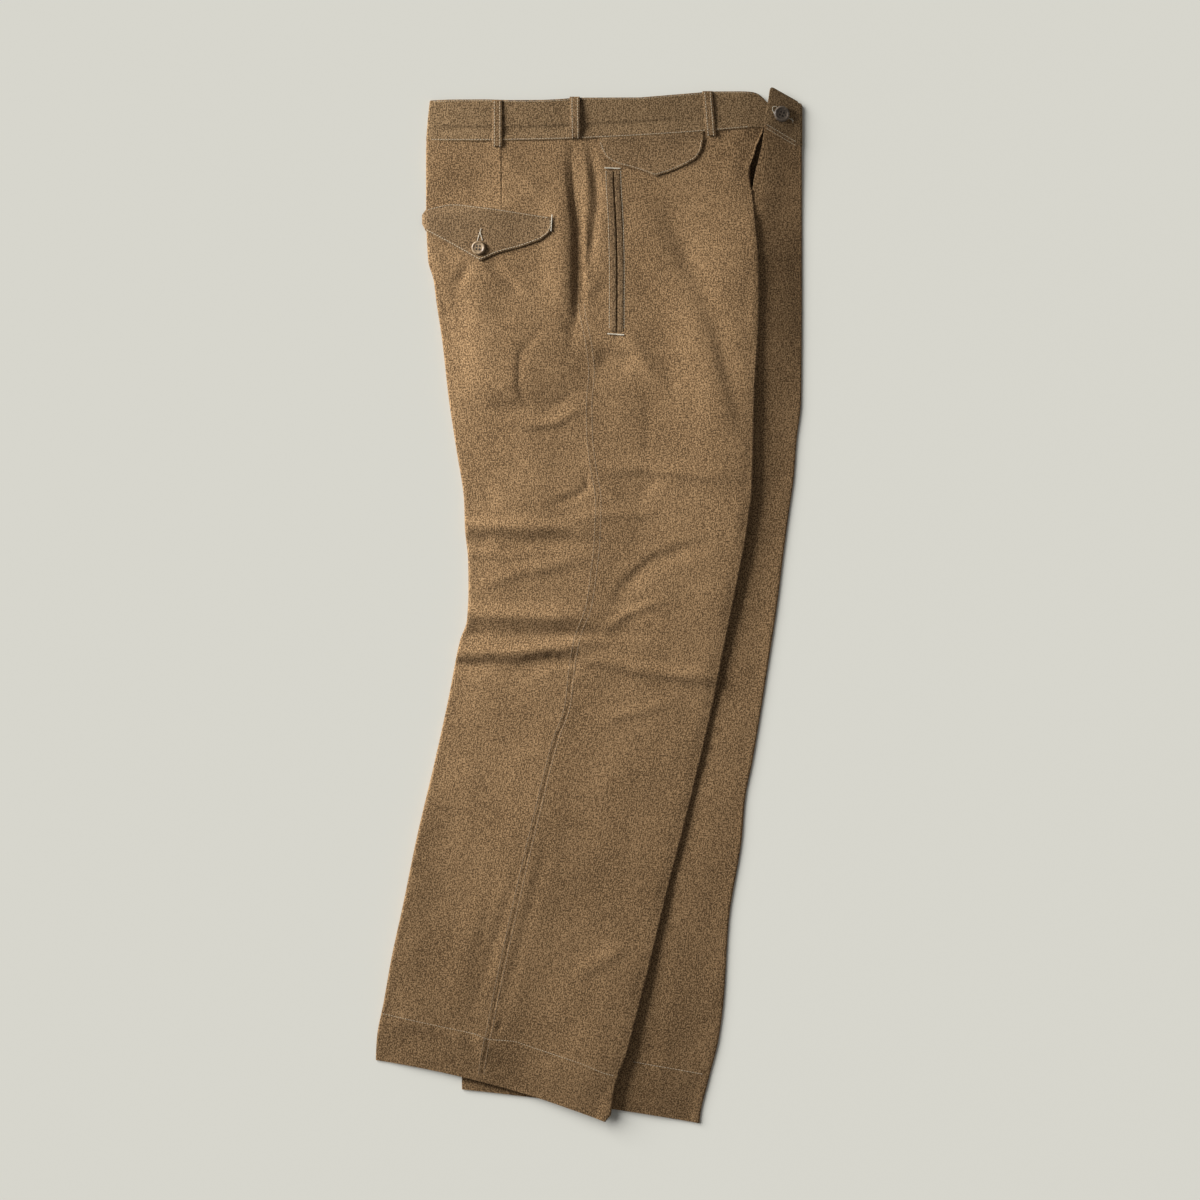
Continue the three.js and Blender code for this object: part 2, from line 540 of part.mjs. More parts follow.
for (const panel of panels) {
  const past = panel.rows.map((row) => {
    const x = row.seam.x - panel.side * PAST_SEAM;
    return plan(x, rowDown(row, x), panel.first(x, rowDown(row, x)));
  });
  addPiece(panel.name, wall(panel.rows.map((row) => panelRow(row, panel)), CLOTH, past), twill);
}

// The right waistband lies over the hips, wraps the back and passes under the tab at the front
const BAND_ROWS = [0, 0.34, 0.67, 1];
const bandTopAt = straight([
  [-170, 10.6], [-150, 9.8], [-110, 9.6], [-85, 10.4], [-50, 10.2], [-30, 9.2], [-16, 7.8],
  [53, 7.6], [117, 2.3], [129, 1.3], [160, 1.3], [175, 2], [181, 4.5], [185, 9], [188, 12.4],
  [200, 18], [213, 24],
]);
const panelTopAt = (x) => rowDown(rightLeg[0], Math.min(x, 180));
const BAND_DIVE_X = 181; // past here the band's end slopes down under the tab
const BAND_DIVE = 0.42;
const bandFootAt = (x) => panelTopAt(x) - SEAM_GAP + BAND_DIVE * Math.max(x - BAND_DIVE_X, 0);
const TAB_FOOT_X = 184.5;
const TAB_TOP_X = 191;
const BAND_END_X = 213;
const GROUND_BAND = BAND_CLOTH / 2;
const bandHeightAt = straight([
  [-172, 3.9], [-164, 4.7], [-150, 5.6], [150, 5.8], [166, 5.2], [178, 4.6], [190, 5], [202, 5.4],
  [213, 4.6],
]);
function rightBandRow(part) {
  const points = [];
  const stops = [213, 207, 201, 195, 189, 184, 179, 174, 168, 160, 145, 120, 95, 70, 45, 20, -8, -21,
    -50, -80, -110, -140, -158, -166];
  for (const x of stops) {
    points.push(plan(x, mix(bandTopAt(x), bandFootAt(x), part), bandHeightAt(x)));
  }
  const down = mix(bandTopAt(-170), bandFootAt(-170), part);
  const corner = rightBackAt(down) + CREASE_RADIUS;
  const from = bandHeightAt(corner);
  const ROLL = 5;
  for (let i = 0; i <= ROLL; i += 1) {
    const a = (Math.PI * i) / ROLL;
    const height = (from + GROUND_BAND) / 2 + ((from - GROUND_BAND) / 2) * Math.cos(a);
    points.push(plan(corner - CREASE_RADIUS * Math.sin(a), down, height));
  }
  points.push(plan(rightBackAt(down) + seatWrapAt(down), down, GROUND_BAND));
  return points;
}
addPiece("waistband_right", wall(BAND_ROWS.map(rightBandRow), BAND_CLOTH), twill);

// The left waistband lies on the ground and turns over the front edge into the buttoned tab
const leftWaist = leftLeg[0];
function tabHeight(x, down) {
  return leftInner(x, Math.min(down, 60)) + (BAND_CLOTH - CLOTH) / 2;
}
function leftBandRow(part) {
  const points = [];
  const top = { back: 12, notch: 17, front: 14 };
  const edge = leftFrontAt(0);
  const corner = edge - CREASE_RADIUS;
  const start = leftBackAt(mix(top.back, leftWaist.back.down, part)) + SEAM_GAP;
  const GROUND_STEPS = 9;
  for (let i = 0; i <= GROUND_STEPS; i += 1) {
    const x = mix(start, corner, i / GROUND_STEPS);
    const topDown = mix(top.back, top.notch, ease(x, [100, 188]))
      - (top.notch - top.front) * ease(x, [192, corner]);
    points.push(plan(x, mix(topDown, rowDown(leftWaist, x) - SEAM_GAP, part), GROUND_BAND));
  }
  const cornerDown = mix(top.front, rowDown(leftWaist, corner) - SEAM_GAP, part);
  const above = tabHeight(corner, cornerDown);
  const ROLL = 5;
  for (let i = 1; i <= ROLL; i += 1) {
    const a = (Math.PI * i) / ROLL;
    const height = (above + GROUND_BAND) / 2 - ((above - GROUND_BAND) / 2) * Math.cos(a);
    points.push(plan(corner + CREASE_RADIUS * Math.sin(a), cornerDown, height));
  }
  const end = mix(TAB_TOP_X, TAB_FOOT_X, part);
  const TAB_STEPS = 6;
  for (let i = 1; i <= TAB_STEPS; i += 1) {
    const x = mix(corner, end, i / TAB_STEPS);
    const lean = leftWaist.lean * THREE.MathUtils.clamp((edge - x) / LEAN_LENGTH, 0, 1);
    const foot = rowDown(leftWaist, x) - SEAM_GAP;
    const down = mix(top.front, foot, part) + lean;
    points.push(plan(x, down, tabHeight(x, down)));
  }
  return points;
}
addPiece("waistband_left", wall(BAND_ROWS.map(leftBandRow), BAND_CLOTH), twill);

// The fly shield: the right front's underlap, seen in the gap of the fly
const SHIELD_FOOT = 92;
const SHIELD_ROWS = [0, 0.3, 0.65, 1];
function shieldRow(part) {
  const points = [];
  const STEPS = 6;
  for (let i = 0; i <= STEPS; i += 1) {
    const across = i / STEPS;
    const left = mix(178.5, rightFrontAt(SHIELD_FOOT) + 1.2, ease(part, [0, 0.6]));
    const x = mix(left + 3 * (1 - part), 207, across);
    const down = mix(bandFootAt(x) + SEAM_GAP + 0.2, SHIELD_FOOT, part);
    points.push(plan(x, down, mix(3.1, 2.15, ease(down, [60, 84]))));
  }
  return points;
}
addPiece("fly_shield", wall(SHIELD_ROWS.map(shieldRow), CLOTH), twill);

// Pieces that lie on the top cloth are made from its points, moved out
const ON_CLOTH = CLOTH / 2 + SEAM_GAP + DOUBLE_CLOTH / 2;

// A flap between an upper and a lower edge, given as x and distance down at each column
function flapGrid(columns, topAt, footAt, heightAt, rowParts) {
  return rowParts.map((part) => columns.map((x) => {
    const down = mix(topAt(x), footAt(x), part);
    return plan(x, down, heightAt(x, down));
  }));
}

const backFlapTop = straight([
  [-178, 132], [-174, 126.5], [-151, 120.4], [-140, 120.4], [-95, 126.4], [-40.5, 135],
]);
const backFlapFoot = straight([
  [-178, 141.5], [-174, 149.5], [-148, 163.4], [-117, 181], [-98.5, 172.8], [-74, 166.4],
  [-53, 159], [-44, 152.5], [-40.5, 146],
]);
// Past the back crease the flap stands out and turns down
const FLAP_TURN = 4;
const FLAP_END_X = -178;
const FLAP_LOW = 2.6;
const FLAP_LIFT = 0.7; // and stands off the cloth by this much more
function backFlapHeight(x, down) {
  const turn = rightBackAt(down) + FLAP_TURN;
  const flat = rightOuter(Math.max(x, turn), down) + ON_CLOTH + FLAP_LIFT;
  if (x >= turn) {
    return flat;
  }
  const reach = (turn - x) / (turn - FLAP_END_X + 0.3);
  return FLAP_LOW + (flat - FLAP_LOW) * Math.sqrt(Math.max(1 - reach ** 2, 0));
}
const backFlapColumns = [-178, -176.6, -174, -170, -163, -148, -132, -117, -108, -98.5, -86, -74, -63,
  -53, -44, -40.5];
addPiece("back_pocket_flap",
  wall(flapGrid(backFlapColumns, backFlapTop, backFlapFoot, backFlapHeight, [0, 0.25, 0.5, 0.75, 1]),
    DOUBLE_CLOTH), twill);

const watchFlapTop = (x) => panelTopAt(x) + 0.4;
const watchFlapFoot = straight([
  [9.5, 58], [12.5, 64], [16, 70.4], [22.3, 75.3], [31.8, 79.5], [44, 82.4], [57, 86.6],
  [69, 91.3], [87, 85.5], [103.5, 78], [113, 72], [118, 63.9], [120, 52],
]);
const watchFlapColumns = [9.5, 12.5, 16, 22.3, 31.8, 44, 57, 69, 78, 87, 95, 103.5, 113, 118, 120];
const watchFlapHeight = (x, down) => rightOuter(x, down) + ON_CLOTH + 0.2;
addPiece("watch_pocket_flap",
  wall(flapGrid(watchFlapColumns, watchFlapTop, watchFlapFoot, watchFlapHeight, [0, 0.25, 0.5, 0.75, 1]),
    DOUBLE_CLOTH), twill);

// The two welts of the side pocket, with the slit between them
const WELT_WIDTH = 6.6;
const WELT_CLOTH = 1;
const weltRoute = track([
  { down: 84, x: 24.8 }, { down: 146, x: 27.6 }, { down: 197, x: 28.6 }, { down: 256, x: 28.4 },
]);
const WELT_LEVELS = [85, 99, 112, 126, 140, 154, 168, 182, 196, 210, 226, 241, 256];
for (const [name, side] of [["side_pocket_welt_back", -1], ["side_pocket_welt_front", 1]]) {
  const grid = WELT_LEVELS.map((down) => [0.25, WELT_WIDTH / 2, WELT_WIDTH].map((away) => {
    const x = weltRoute(down) + side * away;
    return plan(x, down, rightOuter(x, down) + CLOTH / 2 + SEAM_GAP + WELT_CLOTH / 2 + 0.2);
  }));
  addPiece(name, wall(grid, WELT_CLOTH), twill);
}

// Belt loops stand over the waistband, sewn down at both ends
const LOOP_WIDTH = 10.6;
const LOOP_PARTS = [0, 0.14, 0.32, 0.5, 0.68, 0.86, 1];
const loops = [
  { name: "belt_loop_back", topX: -98.4, top: 10.6, footX: -98.4, foot: 59.4, bow: 1.4 },
  { name: "belt_loop_side", topX: -16.2, top: 7.2, footX: -15.6, foot: 50.8, bow: 2.4 },
  { name: "belt_loop_front", topX: 124.4, top: 1.2, footX: 128.2, foot: 48, bow: 1.4 },
];
for (const loop of loops) {
  const grid = LOOP_PARTS.map((part) => {
    const middle = mix(loop.topX, loop.footX, part);
    const down = mix(loop.top, loop.foot, part);
    const below = Math.max(bandHeightAt(middle) + BAND_CLOTH / 2,
      rightOuter(middle, Math.max(down, 54)) + CLOTH / 2 - 1.2);
    const arch = loop.bow * Math.sin(Math.PI * part) ** 0.6;
    return [-LOOP_WIDTH / 2, 0, LOOP_WIDTH / 2].map((aside) =>
      plan(middle + aside, down, below + SEAM_GAP + 0.15 + DOUBLE_CLOTH / 2 + arch));
  });
  addPiece(loop.name, wall(grid, DOUBLE_CLOTH), twill);
}

// Four-hole buttons: a turned disc with a raised rim, pierced by four holes
const wasm = await Module();
wasm.setup();
function toSolid(geometry) {
  const bare = geometry.clone();
  bare.deleteAttribute("normal");
  bare.deleteAttribute("uv");
  const merged = mergeVertices(bare, 1e-4);
  return new wasm.Manifold(new wasm.Mesh({
    numProp: 3,
    vertProperties: new Float32Array(merged.attributes.position.array),
    triVerts: new Uint32Array(merged.index.array),
  }));
}
function toGeometry(solid) {
  const mesh = solid.getMesh();
  const geometry = new THREE.BufferGeometry();
  geometry.setAttribute("position", new THREE.Float32BufferAttribute(mesh.vertProperties, 3));
  geometry.setIndex([...mesh.triVerts]);
  geometry.computeVertexNormals();
  return geometry;
}
function buttonGeometry(diameter) {
  const radius = diameter / 2;
  const THICK = 2.6;
  const WELL = 0.8;
  const RIM = 1.9;
  const profile = [
    [0, 0], [radius - 1, 0], [radius, 1], [radius, THICK - 0.8], [radius - 0.8, THICK],
    [radius - RIM, THICK], [radius - RIM - 1, THICK - WELL], [0, THICK - WELL],
  ].map(([x, y]) => new THREE.Vector2(x, y));
  const disc = new THREE.LatheGeometry(profile, 28).rotateX(Math.PI / 2);
  let solid = toSolid(disc);
  const HOLE_RADIUS = 0.85;
  const HOLE_OFFSET = 1.5;
  for (const [x, y] of [[1, 1], [-1, 1], [-1, -1], [1, -1]]) {
    const drill = new THREE.CylinderGeometry(HOLE_RADIUS, HOLE_RADIUS, 3 * THICK, 10)
      .rotateX(Math.PI / 2).translate(x * HOLE_OFFSET, y * HOLE_OFFSET, 0);
    solid = solid.subtract(toSolid(drill));
  }
  return toGeometry(solid);
}
function placeButton(name, diameter, x, down, heightAt, look) {
  const STEP = 4;
  const slopeX = (heightAt(x + STEP, down) - heightAt(x - STEP, down)) / (2 * STEP);
  const slopeDown = (heightAt(x, down + STEP) - heightAt(x, down - STEP)) / (2 * STEP);
  const normal = new THREE.Vector3(-slopeX, slopeDown, 1).normalize();
  const mesh = addPiece(name, buttonGeometry(diameter), look);
  mesh.quaternion.setFromUnitVectors(new THREE.Vector3(0, 0, 1), normal);
  mesh.position.copy(plan(x, down, heightAt(x, down)));
}
placeButton("back_pocket_button", 15, -118.2, 167.5,
  (x, down) => backFlapHeight(x, down) + DOUBLE_CLOTH / 2 + 0.45, paleHorn);
placeButton("waist_button", 17, 202.8, 26,
  (x, down) => tabHeight(x, down) + BAND_CLOTH / 2 + 0.3, darkHorn);

// The origin is the middle of the outline, on the ground
const box = new THREE.Box3().setFromObject(trousers);
const middle = box.getCenter(new THREE.Vector3());
for (const mesh of trousers.children) {
  mesh.position.x -= middle.x;
  mesh.position.y -= middle.y;
}

export default trousers;
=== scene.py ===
import math
from collections import namedtuple

import bpy
import numpy as np
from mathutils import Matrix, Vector


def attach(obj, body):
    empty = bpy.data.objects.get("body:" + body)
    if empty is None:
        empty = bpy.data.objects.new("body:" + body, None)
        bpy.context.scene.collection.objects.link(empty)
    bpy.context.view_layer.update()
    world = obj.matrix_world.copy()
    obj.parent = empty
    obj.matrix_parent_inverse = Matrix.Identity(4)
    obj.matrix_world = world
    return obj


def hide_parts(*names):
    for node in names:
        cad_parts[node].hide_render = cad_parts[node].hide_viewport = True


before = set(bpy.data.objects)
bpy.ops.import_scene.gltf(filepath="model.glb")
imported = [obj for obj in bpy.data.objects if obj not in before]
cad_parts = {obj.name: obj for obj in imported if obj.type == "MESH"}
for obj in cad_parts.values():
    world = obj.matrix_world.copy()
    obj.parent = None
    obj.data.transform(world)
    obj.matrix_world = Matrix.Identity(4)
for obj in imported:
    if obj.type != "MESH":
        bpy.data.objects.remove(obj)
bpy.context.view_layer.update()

MM = 0.001
PLAN_X = 1.007  # the plan's zero in the frame
PLAN_Y = 546.167

# Thicknesses of cloth and gaps between pieces
CLOTH = 1.0
BAND_CLOTH = 2.0
FLAP_CLOTH = 1.3
LOOP_CLOTH = 1.3
WELT_CLOTH = 0.7
SEAM_GAP = 0.3
SEWN_GAP = 0.04  # between the two panels along the outseam

# How the layers lie: heights of their middles, and of what lifts them
GROUND_LAYER = 0.6
GROUND_BAND = BAND_CLOTH / 2
RIGHT_GROUND_LAYER = 0.75
LEFT_INNER_LAYER = 3.2
RIGHT_INNER_LAYER = 4.8
HIP_LAYER = 5.4
HIP_SWELL = 0.9
LEG_SWELL = 0.6
HEM_SWELL = 1.5
CREASE_RADIUS = 1.4
CREASE_DEPTH = 2.8
BACK_CREASE_PUFF = 1.7  # the right leg's back crease stands this much fuller than pressed flat
WAIST_EDGE_LIFT = 2.2
FLY_LIFT = 8.2
LAYER_STEP = 1.4  # least distance between the middles of two layers
FLY_LAP_DOWN = 104
CROTCH_DOWN = 318

# Outlines and seams: pairs of distance down and x
RIGHT_BACK_EDGE = [
    (0, -168.6), (32, -171.4), (66, -173.6), (125, -173.6), (180, -171.4), (201, -165.6),
    (223, -162.8), (265, -156.5), (329, -149.2), (382, -141.2), (435, -133.3), (466, -132.2),
    (498, -129), (530, -128.6), (562, -130.2), (583, -137.4), (647, -150.2), (710, -164),
    (795, -184), (859, -197), (922, -210.6), (965, -218.2), (1007, -226), (1030, -227)]
RIGHT_FRONT_EDGE = [
    (38, 184), (48.8, 180.4), (52, 178.9), (58.3, 176.2), (66, 174.2), (73, 172.2), (81, 169.6),
    (90, 168.8), (100, 169.6), (106, 170.8), (129, 173.2), (170, 177.4), (218, 178.6), (267, 177.2),
    (316, 173.9), (365, 172.8), (423, 171.2), (459, 167), (494, 161.2), (529, 154.4), (590, 142),
    (647, 131), (694, 120.4), (766, 103.2), (840, 84), (884, 73.3), (949, 57.5), (992, 46.2),
    (1021, 38.6), (1041, 30.6), (1062, 24.6), (1086, 21.6), (1093, 16)]
RIGHT_OUTSEAM = [
    (52, -20), (108, -18), (141, -12.7), (223, -11), (276, -2.1), (299, 0), (332, -2.6),
    (365, -2.1), (396, 1.1), (435, 7), (477, 5.8), (520, 1.1), (547, -3), (582, -15.5),
    (615, -21.2), (652, -25.4), (690, -38.5), (756, -55.1), (808, -67.8), (898, -88),
    (987, -106.5), (1050, -117)]
SEAT_WRAP = [
    (0, 4.5), (150, 4.5), (185, 10.5), (200, 18), (223, 29), (267, 62), (300, 106), (318, 155)]
LEFT_BACK_INSET = [
    (0, 5), (150, 5), (185, 12), (223, 16), (276, 26), (329, 34), (382, 38), (540, 37),
    (604, 49), (710, 58), (806, 68), (912, 78), (965, 85), (1060, 91.5)]
FRONT_RISE = [
    (36, 184.6), (52, 183), (72, 178.8), (85, 175.6), (95, 173.4), (104, 172.4), (115, 167),
    (130, 164), (176, 155), (223, 130), (267, 85), (300, 40), (318, 6)]
INSEAM = [
    (318, 6), (435, 12), (540, 4), (615, -14), (690, -32), (808, -61), (898, -81),
    (1050, -110), (1080, -112)]
LEFT_FRONT_EDGE = [
    (0, 224.4), (223, 224.4), (329, 223.6), (371, 218.8), (413, 215.6), (435, 212.5),
    (466, 208.2), (498, 204), (541, 198.8), (604, 189.4), (710, 172.3), (753, 164),
    (795, 160.5), (880, 147), (965, 141.4), (1007, 136), (1049, 125.6), (1096, 116)]
LEFT_OUTSEAM = [(52, 20), (318, 30), (540, 40), (710, 20), (900, -5), (1080, -20)]
CREASE_LIFT = [
    (104, 6.2), (130, 9.6), (160, 10.8), (223, 9.8), (350, 8), (450, 6), (550, 3.8), (650, 1),
    (750, 0.4), (850, 1.6), (960, 5), (1040, 7.4), (1090, 8)]
# Rows of stitches along the hems: pairs of x and distance down
HEM_LINE = [
    (-220, 979.3), (-176, 989), (-121, 1000.6), (-109, 1006), (-80.5, 1008), (-53.5, 1017),
    (-8.5, 1031.4), (13.8, 1041), (28, 1044.8)]
LEFT_HEM_LINE = [(46, 1030.3), (84, 1037), (121, 1044)]

# How much the left leg's shown strip rises toward the right leg
STRIP_TILT = [
    (60, 0), (90, 0.8), (104, 2.2), (120, 5), (150, 9.6), (175, 12), (223, 12), (330, 6.4),
    (450, 3.4), (600, 1), (750, 0.4), (850, 1), (960, 2.6), (1090, 3.6)]

# Rows across a leg: distances down at the back crease, the outseam and the front crease, and how
# far the fly's end of the row leans up
Row = namedtuple("Row", "back seam front lean")
RIGHT_ROWS = [
    Row(53, 51.5, 38, 0), Row(68, 68, 62, 0), Row(81, 81, 81, 0), Row(104, 104, 104, 0),
    Row(132, 132, 130, 0), Row(180, 181, 176, 0), Row(223, 223, 218, 0), Row(276, 276, 267, 0),
    Row(318, 318, 316, 0), Row(382, 382, 374, 0), Row(434, 434, 424, 0), Row(453, 454, 446, 0),
    Row(485, 487, 480, 0), Row(535, 537, 530, 0), Row(610, 616, 617, 0), Row(638, 646, 650, 0),
    Row(733, 747, 760, 0), Row(904, 928, 953, 0), Row(980, 1006, 1045, 0),
    Row(1029, 1051, 1093, 0)]
LEFT_ROWS = [
    Row(55, 56, 60.2, -21), Row(74, 75, 75, -13), Row(88, 88, 88, -7), Row(98, 98, 98, -3),
    Row(106, 106, 106, 0), Row(118, 118, 118, 0), Row(150, 150, 150, 0), Row(170, 170, 170, 0),
    Row(185, 185, 185, 0), Row(223, 223, 223, 0), Row(267, 267, 267, 0), Row(300, 300, 300, 0),
    Row(318, 318, 318, 0), Row(434, 434, 434, 0), Row(540, 543, 548, 0), Row(760, 768, 780, 0),
    Row(1060, 1074, 1096, 0)]
LEAN_LENGTH = 40

# Folds of the top cloth. rise is the height, below zero for a trough; waist and hem are the widths
# on the two sides of the fold's line, and on a fold that runs down they are the fly's side and the
# seat's side; crisp goes from 0, round, to 1, a sharp line
Fold = namedtuple("Fold", "name rise waist hem crisp points")
TOP_FOLDS = [
    Fold("outseam ridge", 0.8, 5, 6, 0.1,
         [(-6, 56), (-3, 87), (-5, 148), (-2, 212), (-3, 254)]),
    Fold("valley behind the outseam", -3.6, 20, 9, 0.7,
         [(-20, 56), (-19, 95), (-16, 122), (-13, 143), (-13, 164), (-13, 212), (-14, 237),
          (-21, 265)]),
    Fold("slope behind the outseam", 2.6, 16, 26, 0.2,
         [(-32, 95), (-30, 132), (-28, 175), (-29, 212), (-32, 244)]),
    Fold("valley before the outseam", -3.2, 11, 6, 0.5,
         [(-2, 53), (2, 80), (5, 101), (6, 122), (3, 146), (1, 167), (0, 189)]),
    Fold("line round the watch flap", -1.1, 4, 5, 0.5,
         [(8, 51), (12, 61), (15, 70), (21, 76), (33, 81), (61, 87)]),
    Fold("slant before the outseam", -1.1, 6, 6, 0.2,
         [(2, 223), (18, 207)]),
    Fold("seat hollow", -2.6, 46, 12, 0,
         [(-201, 123), (-143, 120), (-90, 113)]),
    Fold("seat slant", 1.2, 14, 10, 0.2,
         [(-103, 64), (-46, 117)]),
    Fold("below the back flap", 1.7, 26, 24, 0,
         [(-119, 189), (-119, 254), (-111, 318)]),
    Fold("behind the flap's point", -2.4, 9, 8, 0.3,
         [(-127, 184), (-143, 207), (-152, 235)]),
    Fold("before the flap's point", -2.4, 9, 9, 0.3,
         [(-108, 182), (-90, 199), (-74, 214)]),
    Fold("pocket bag slope", 6.2, 105, 85, 0.4,
         [(-78, 242), (-87, 286), (-83, 337)]),
    Fold("pocket bag rim", -1, 9, 5, 0.5,
         [(-46, 242), (-75, 282), (-76, 313), (-64, 341)]),
    Fold("below the pocket bag", 2.2, 10, 5, 0.5,
         [(-127, 324), (-112, 334), (-92, 350), (-67, 357), (-37, 354), (-7, 337)]),
    Fold("corner by the outseam", -1, 8, 8, 0.3,
         [(-32, 236), (-18, 258)]),
    Fold("under the pocket bag", -0.8, 6, 7, 0.4,
         [(-53, 342), (-14, 321)]),
    Fold("thigh crease", -1, 7, 8, 0.3,
         [(-109, 413), (-103, 445)]),
    Fold("thigh slant", -0.8, 9, 9, 0.2,
         [(-85, 389), (-60, 413)]),
    Fold("front drag", 2.2, 20, 34, 0,
         [(45, 112), (74, 164), (99, 223), (119, 276), (138, 339), (155, 403)]),
    Fold("trough beside the drag", -1.3, 18, 12, 0,
         [(83, 129), (104, 175), (123, 214), (136, 254), (146, 297), (157, 339)]),
    Fold("below the side pocket", 1.8, 12, 12, 0.2,
         [(36, 258), (51, 276), (69, 305)]),
    Fold("hollow under the side pocket", -3, 10, 34, 0.2,
         [(6, 278), (48, 288)]),
    Fold("side trough", -1.2, 10, 10, 0,
         [(76, 278), (91, 316)]),
    Fold("pocket bag edge", -0.5, 7, 6, 0.3,
         [(59, 323), (61, 355), (60, 395)]),
    Fold("check mark", -1.6, 5, 6, 0.5,
         [(-4, 407), (-2, 422), (-17, 432), (-45, 442)]),
    Fold("front band", 2.2, 16, 9, 0.3,
         [(11, 403), (53, 401), (95, 407), (154, 413)]),
    Fold("front slant", -0.8, 8, 9, 0.2,
         [(50, 431), (74, 410)]),
    Fold("first knee ridge", 3.6, 15, 12, 0.5,
         [(-170, 463), (-74, 464), (-19, 464), (2, 470)]),
    Fold("first knee trough", -1.4, 6, 14, 0.2,
         [(-170, 478), (-74, 479), (-18, 478), (0, 485)]),
    Fold("first knee ridge, front end", 1.4, 12, 8, 0.3,
         [(-16, 454), (32, 450), (74, 452)]),
    Fold("small knee line", 0.9, 7, 6, 0.3,
         [(-159, 493), (-74, 494)]),
    Fold("small knee fold", 1.6, 12, 10, 0.2,
         [(-119, 526), (-77, 512), (-14, 499), (2, 494)]),
    Fold("fan trough", -2, 7, 18, 0.3,
         [(23, 547), (36, 524), (64, 499), (95, 487), (129, 478)]),
    Fold("fan ridge", 2, 6, 9, 0.5,
         [(15, 570), (42, 553), (76, 541)]),
    Fold("low fan", -1, 7, 9, 0.2,
         [(23, 575), (67, 577)]),
    Fold("main knee ridge", 4.6, 17, 14, 0.5,
         [(-170, 556), (-64, 559), (-13, 560), (13, 568)]),
    Fold("main knee trough", -1.8, 8, 7, 0.3,
         [(-170, 577), (-64, 578), (-11, 577), (17, 581)]),
    Fold("pinch", -1.4, 6, 5, 0.4,
         [(-2, 572), (13, 580)]),
    Fold("second knee ridge", 4, 10, 13, 0.4,
         [(-175, 596), (-74, 596), (-32, 591), (11, 585)]),
    Fold("last knee patch", -2.2, 14, 6, 0.2,
         [(-74, 607), (-40, 608), (-6, 608)]),
    Fold("last knee trough", -2.2, 7, 14, 0.4,
         [(-180, 606), (-95, 611), (-61, 612), (-45, 603)]),
    Fold("knee streak behind", -1.2, 6, 6, 0.2,
         [(-48, 613), (-40, 594)]),
    Fold("knee streak before", -0.9, 5, 6, 0.2,
         [(-32, 594), (-25, 613)]),
    Fold("last knee ridge, front end", 3.4, 13, 10, 0.4,
         [(-26, 596), (16, 606), (53, 615), (95, 621), (143, 626)]),
    Fold("shin faint fold", 1, 10, 7, 0.1,
         [(11, 670), (53, 659), (87, 649)]),
    Fold("shin streak behind", -0.9, 10, 10, 0.2,
         [(-76, 825), (-95, 885), (-110, 935), (-129, 988)]),
    Fold("shin streak before", -0.8, 11, 9, 0.2,
         [(-42, 784), (-57, 842), (-77, 920), (-98, 990)]),
    Fold("over the left back crease", 1.2, 14, 20, 0,
         [(-117, 848), (-127, 901), (-140, 965)]),
    Fold("low back edge", 3.4, 46, 20, 0,
         [(-182, 721), (-197, 827), (-210, 912), (-220, 980)]),
    Fold("calf swell", 2.2, 130, 60, 0,
         [(-32, 678), (-53, 753), (-74, 837), (-90, 922)]),
    Fold("hem front fold", 1.4, 12, 12, 0.1,
         [(-16, 938), (37, 909)]),
    Fold("hem pinch", -1.2, 4, 4, 0.5,
         [(-92, 984), (-100, 1001)]),
    Fold("hem bump behind", 1, 7, 7, 0,
         [(-143, 996), (-136, 1018)]),
    Fold("hem dent", -0.8, 6, 6, 0,
         [(-129, 999), (-123, 1024)]),
    Fold("hem bump by the seam", 1.2, 8, 8, 0,
         [(-119, 1001), (-110, 1026)]),
    Fold("side pocket slit", -1.8, 5, 5, 0.3,
         [(24, 74), (28, 117), (29, 197), (29, 263)]),
    Fold("hem hollow", -1.5, 12, 24, 0,
         [(-210, 996), (-151, 1009)]),
]
STRIP_FOLDS = [
    Fold("strip dent", -0.7, 8, 9, 0.2, [(205, 360), (212, 374)]),
    Fold("strip corner", 1, 9, 7, 0.3, [(196, 424), (211, 434)]),
    Fold("strip swell", 0.8, 30, 30, 0, [(196, 150), (204, 300)]),
    Fold("low strip swell", 0.7, 30, 30, 0, [(160, 640), (120, 860)]),
]

# Gentle unevenness of cloth that was pressed by hand: direction, wavelength, height, phase
Wave = namedtuple("Wave", "angle length height phase")
WAVES = [
    Wave(0.2, 83, 0.16, 0.4), Wave(1.1, 61, 0.13, 2.1), Wave(2.0, 97, 0.17, 4.4),
    Wave(2.7, 53, 0.10, 1.3), Wave(0.7, 39, 0.07, 5.2), Wave(1.7, 31, 0.06, 3.3),
    Wave(2.4, 27, 0.05, 0.9), Wave(0.1, 23, 0.05, 2.8)]


def ease(value, low, high):
    t = np.clip((value - low) / (high - low), 0, 1)
    return t * t * (3 - 2 * t)


def mix(a, b, t):
    return a + (b - a) * t


def track(table):
    """A smooth curve through a table's pairs, without overshoot."""
    downs, values = np.array(table, float).T
    spans = np.diff(downs)
    rates = np.diff(values) / spans
    slopes = np.zeros(len(downs))
    before, after = rates[:-1], rates[1:]
    same_way = before * after > 0
    slopes[1:-1][same_way] = (2 * before * after)[same_way] / (before + after)[same_way]

    def at(down):
        held = np.clip(down, downs[0], downs[-1])
        i = np.clip(np.searchsorted(downs, held) - 1, 0, len(spans) - 1)
        t = (held - downs[i]) / spans[i]
        eased = mix(values[i], values[i + 1], t * t * (3 - 2 * t))
        return (eased + t * (1 - t) ** 2 * spans[i] * slopes[i]
                + t * t * (t - 1) * spans[i] * slopes[i + 1])
    return at


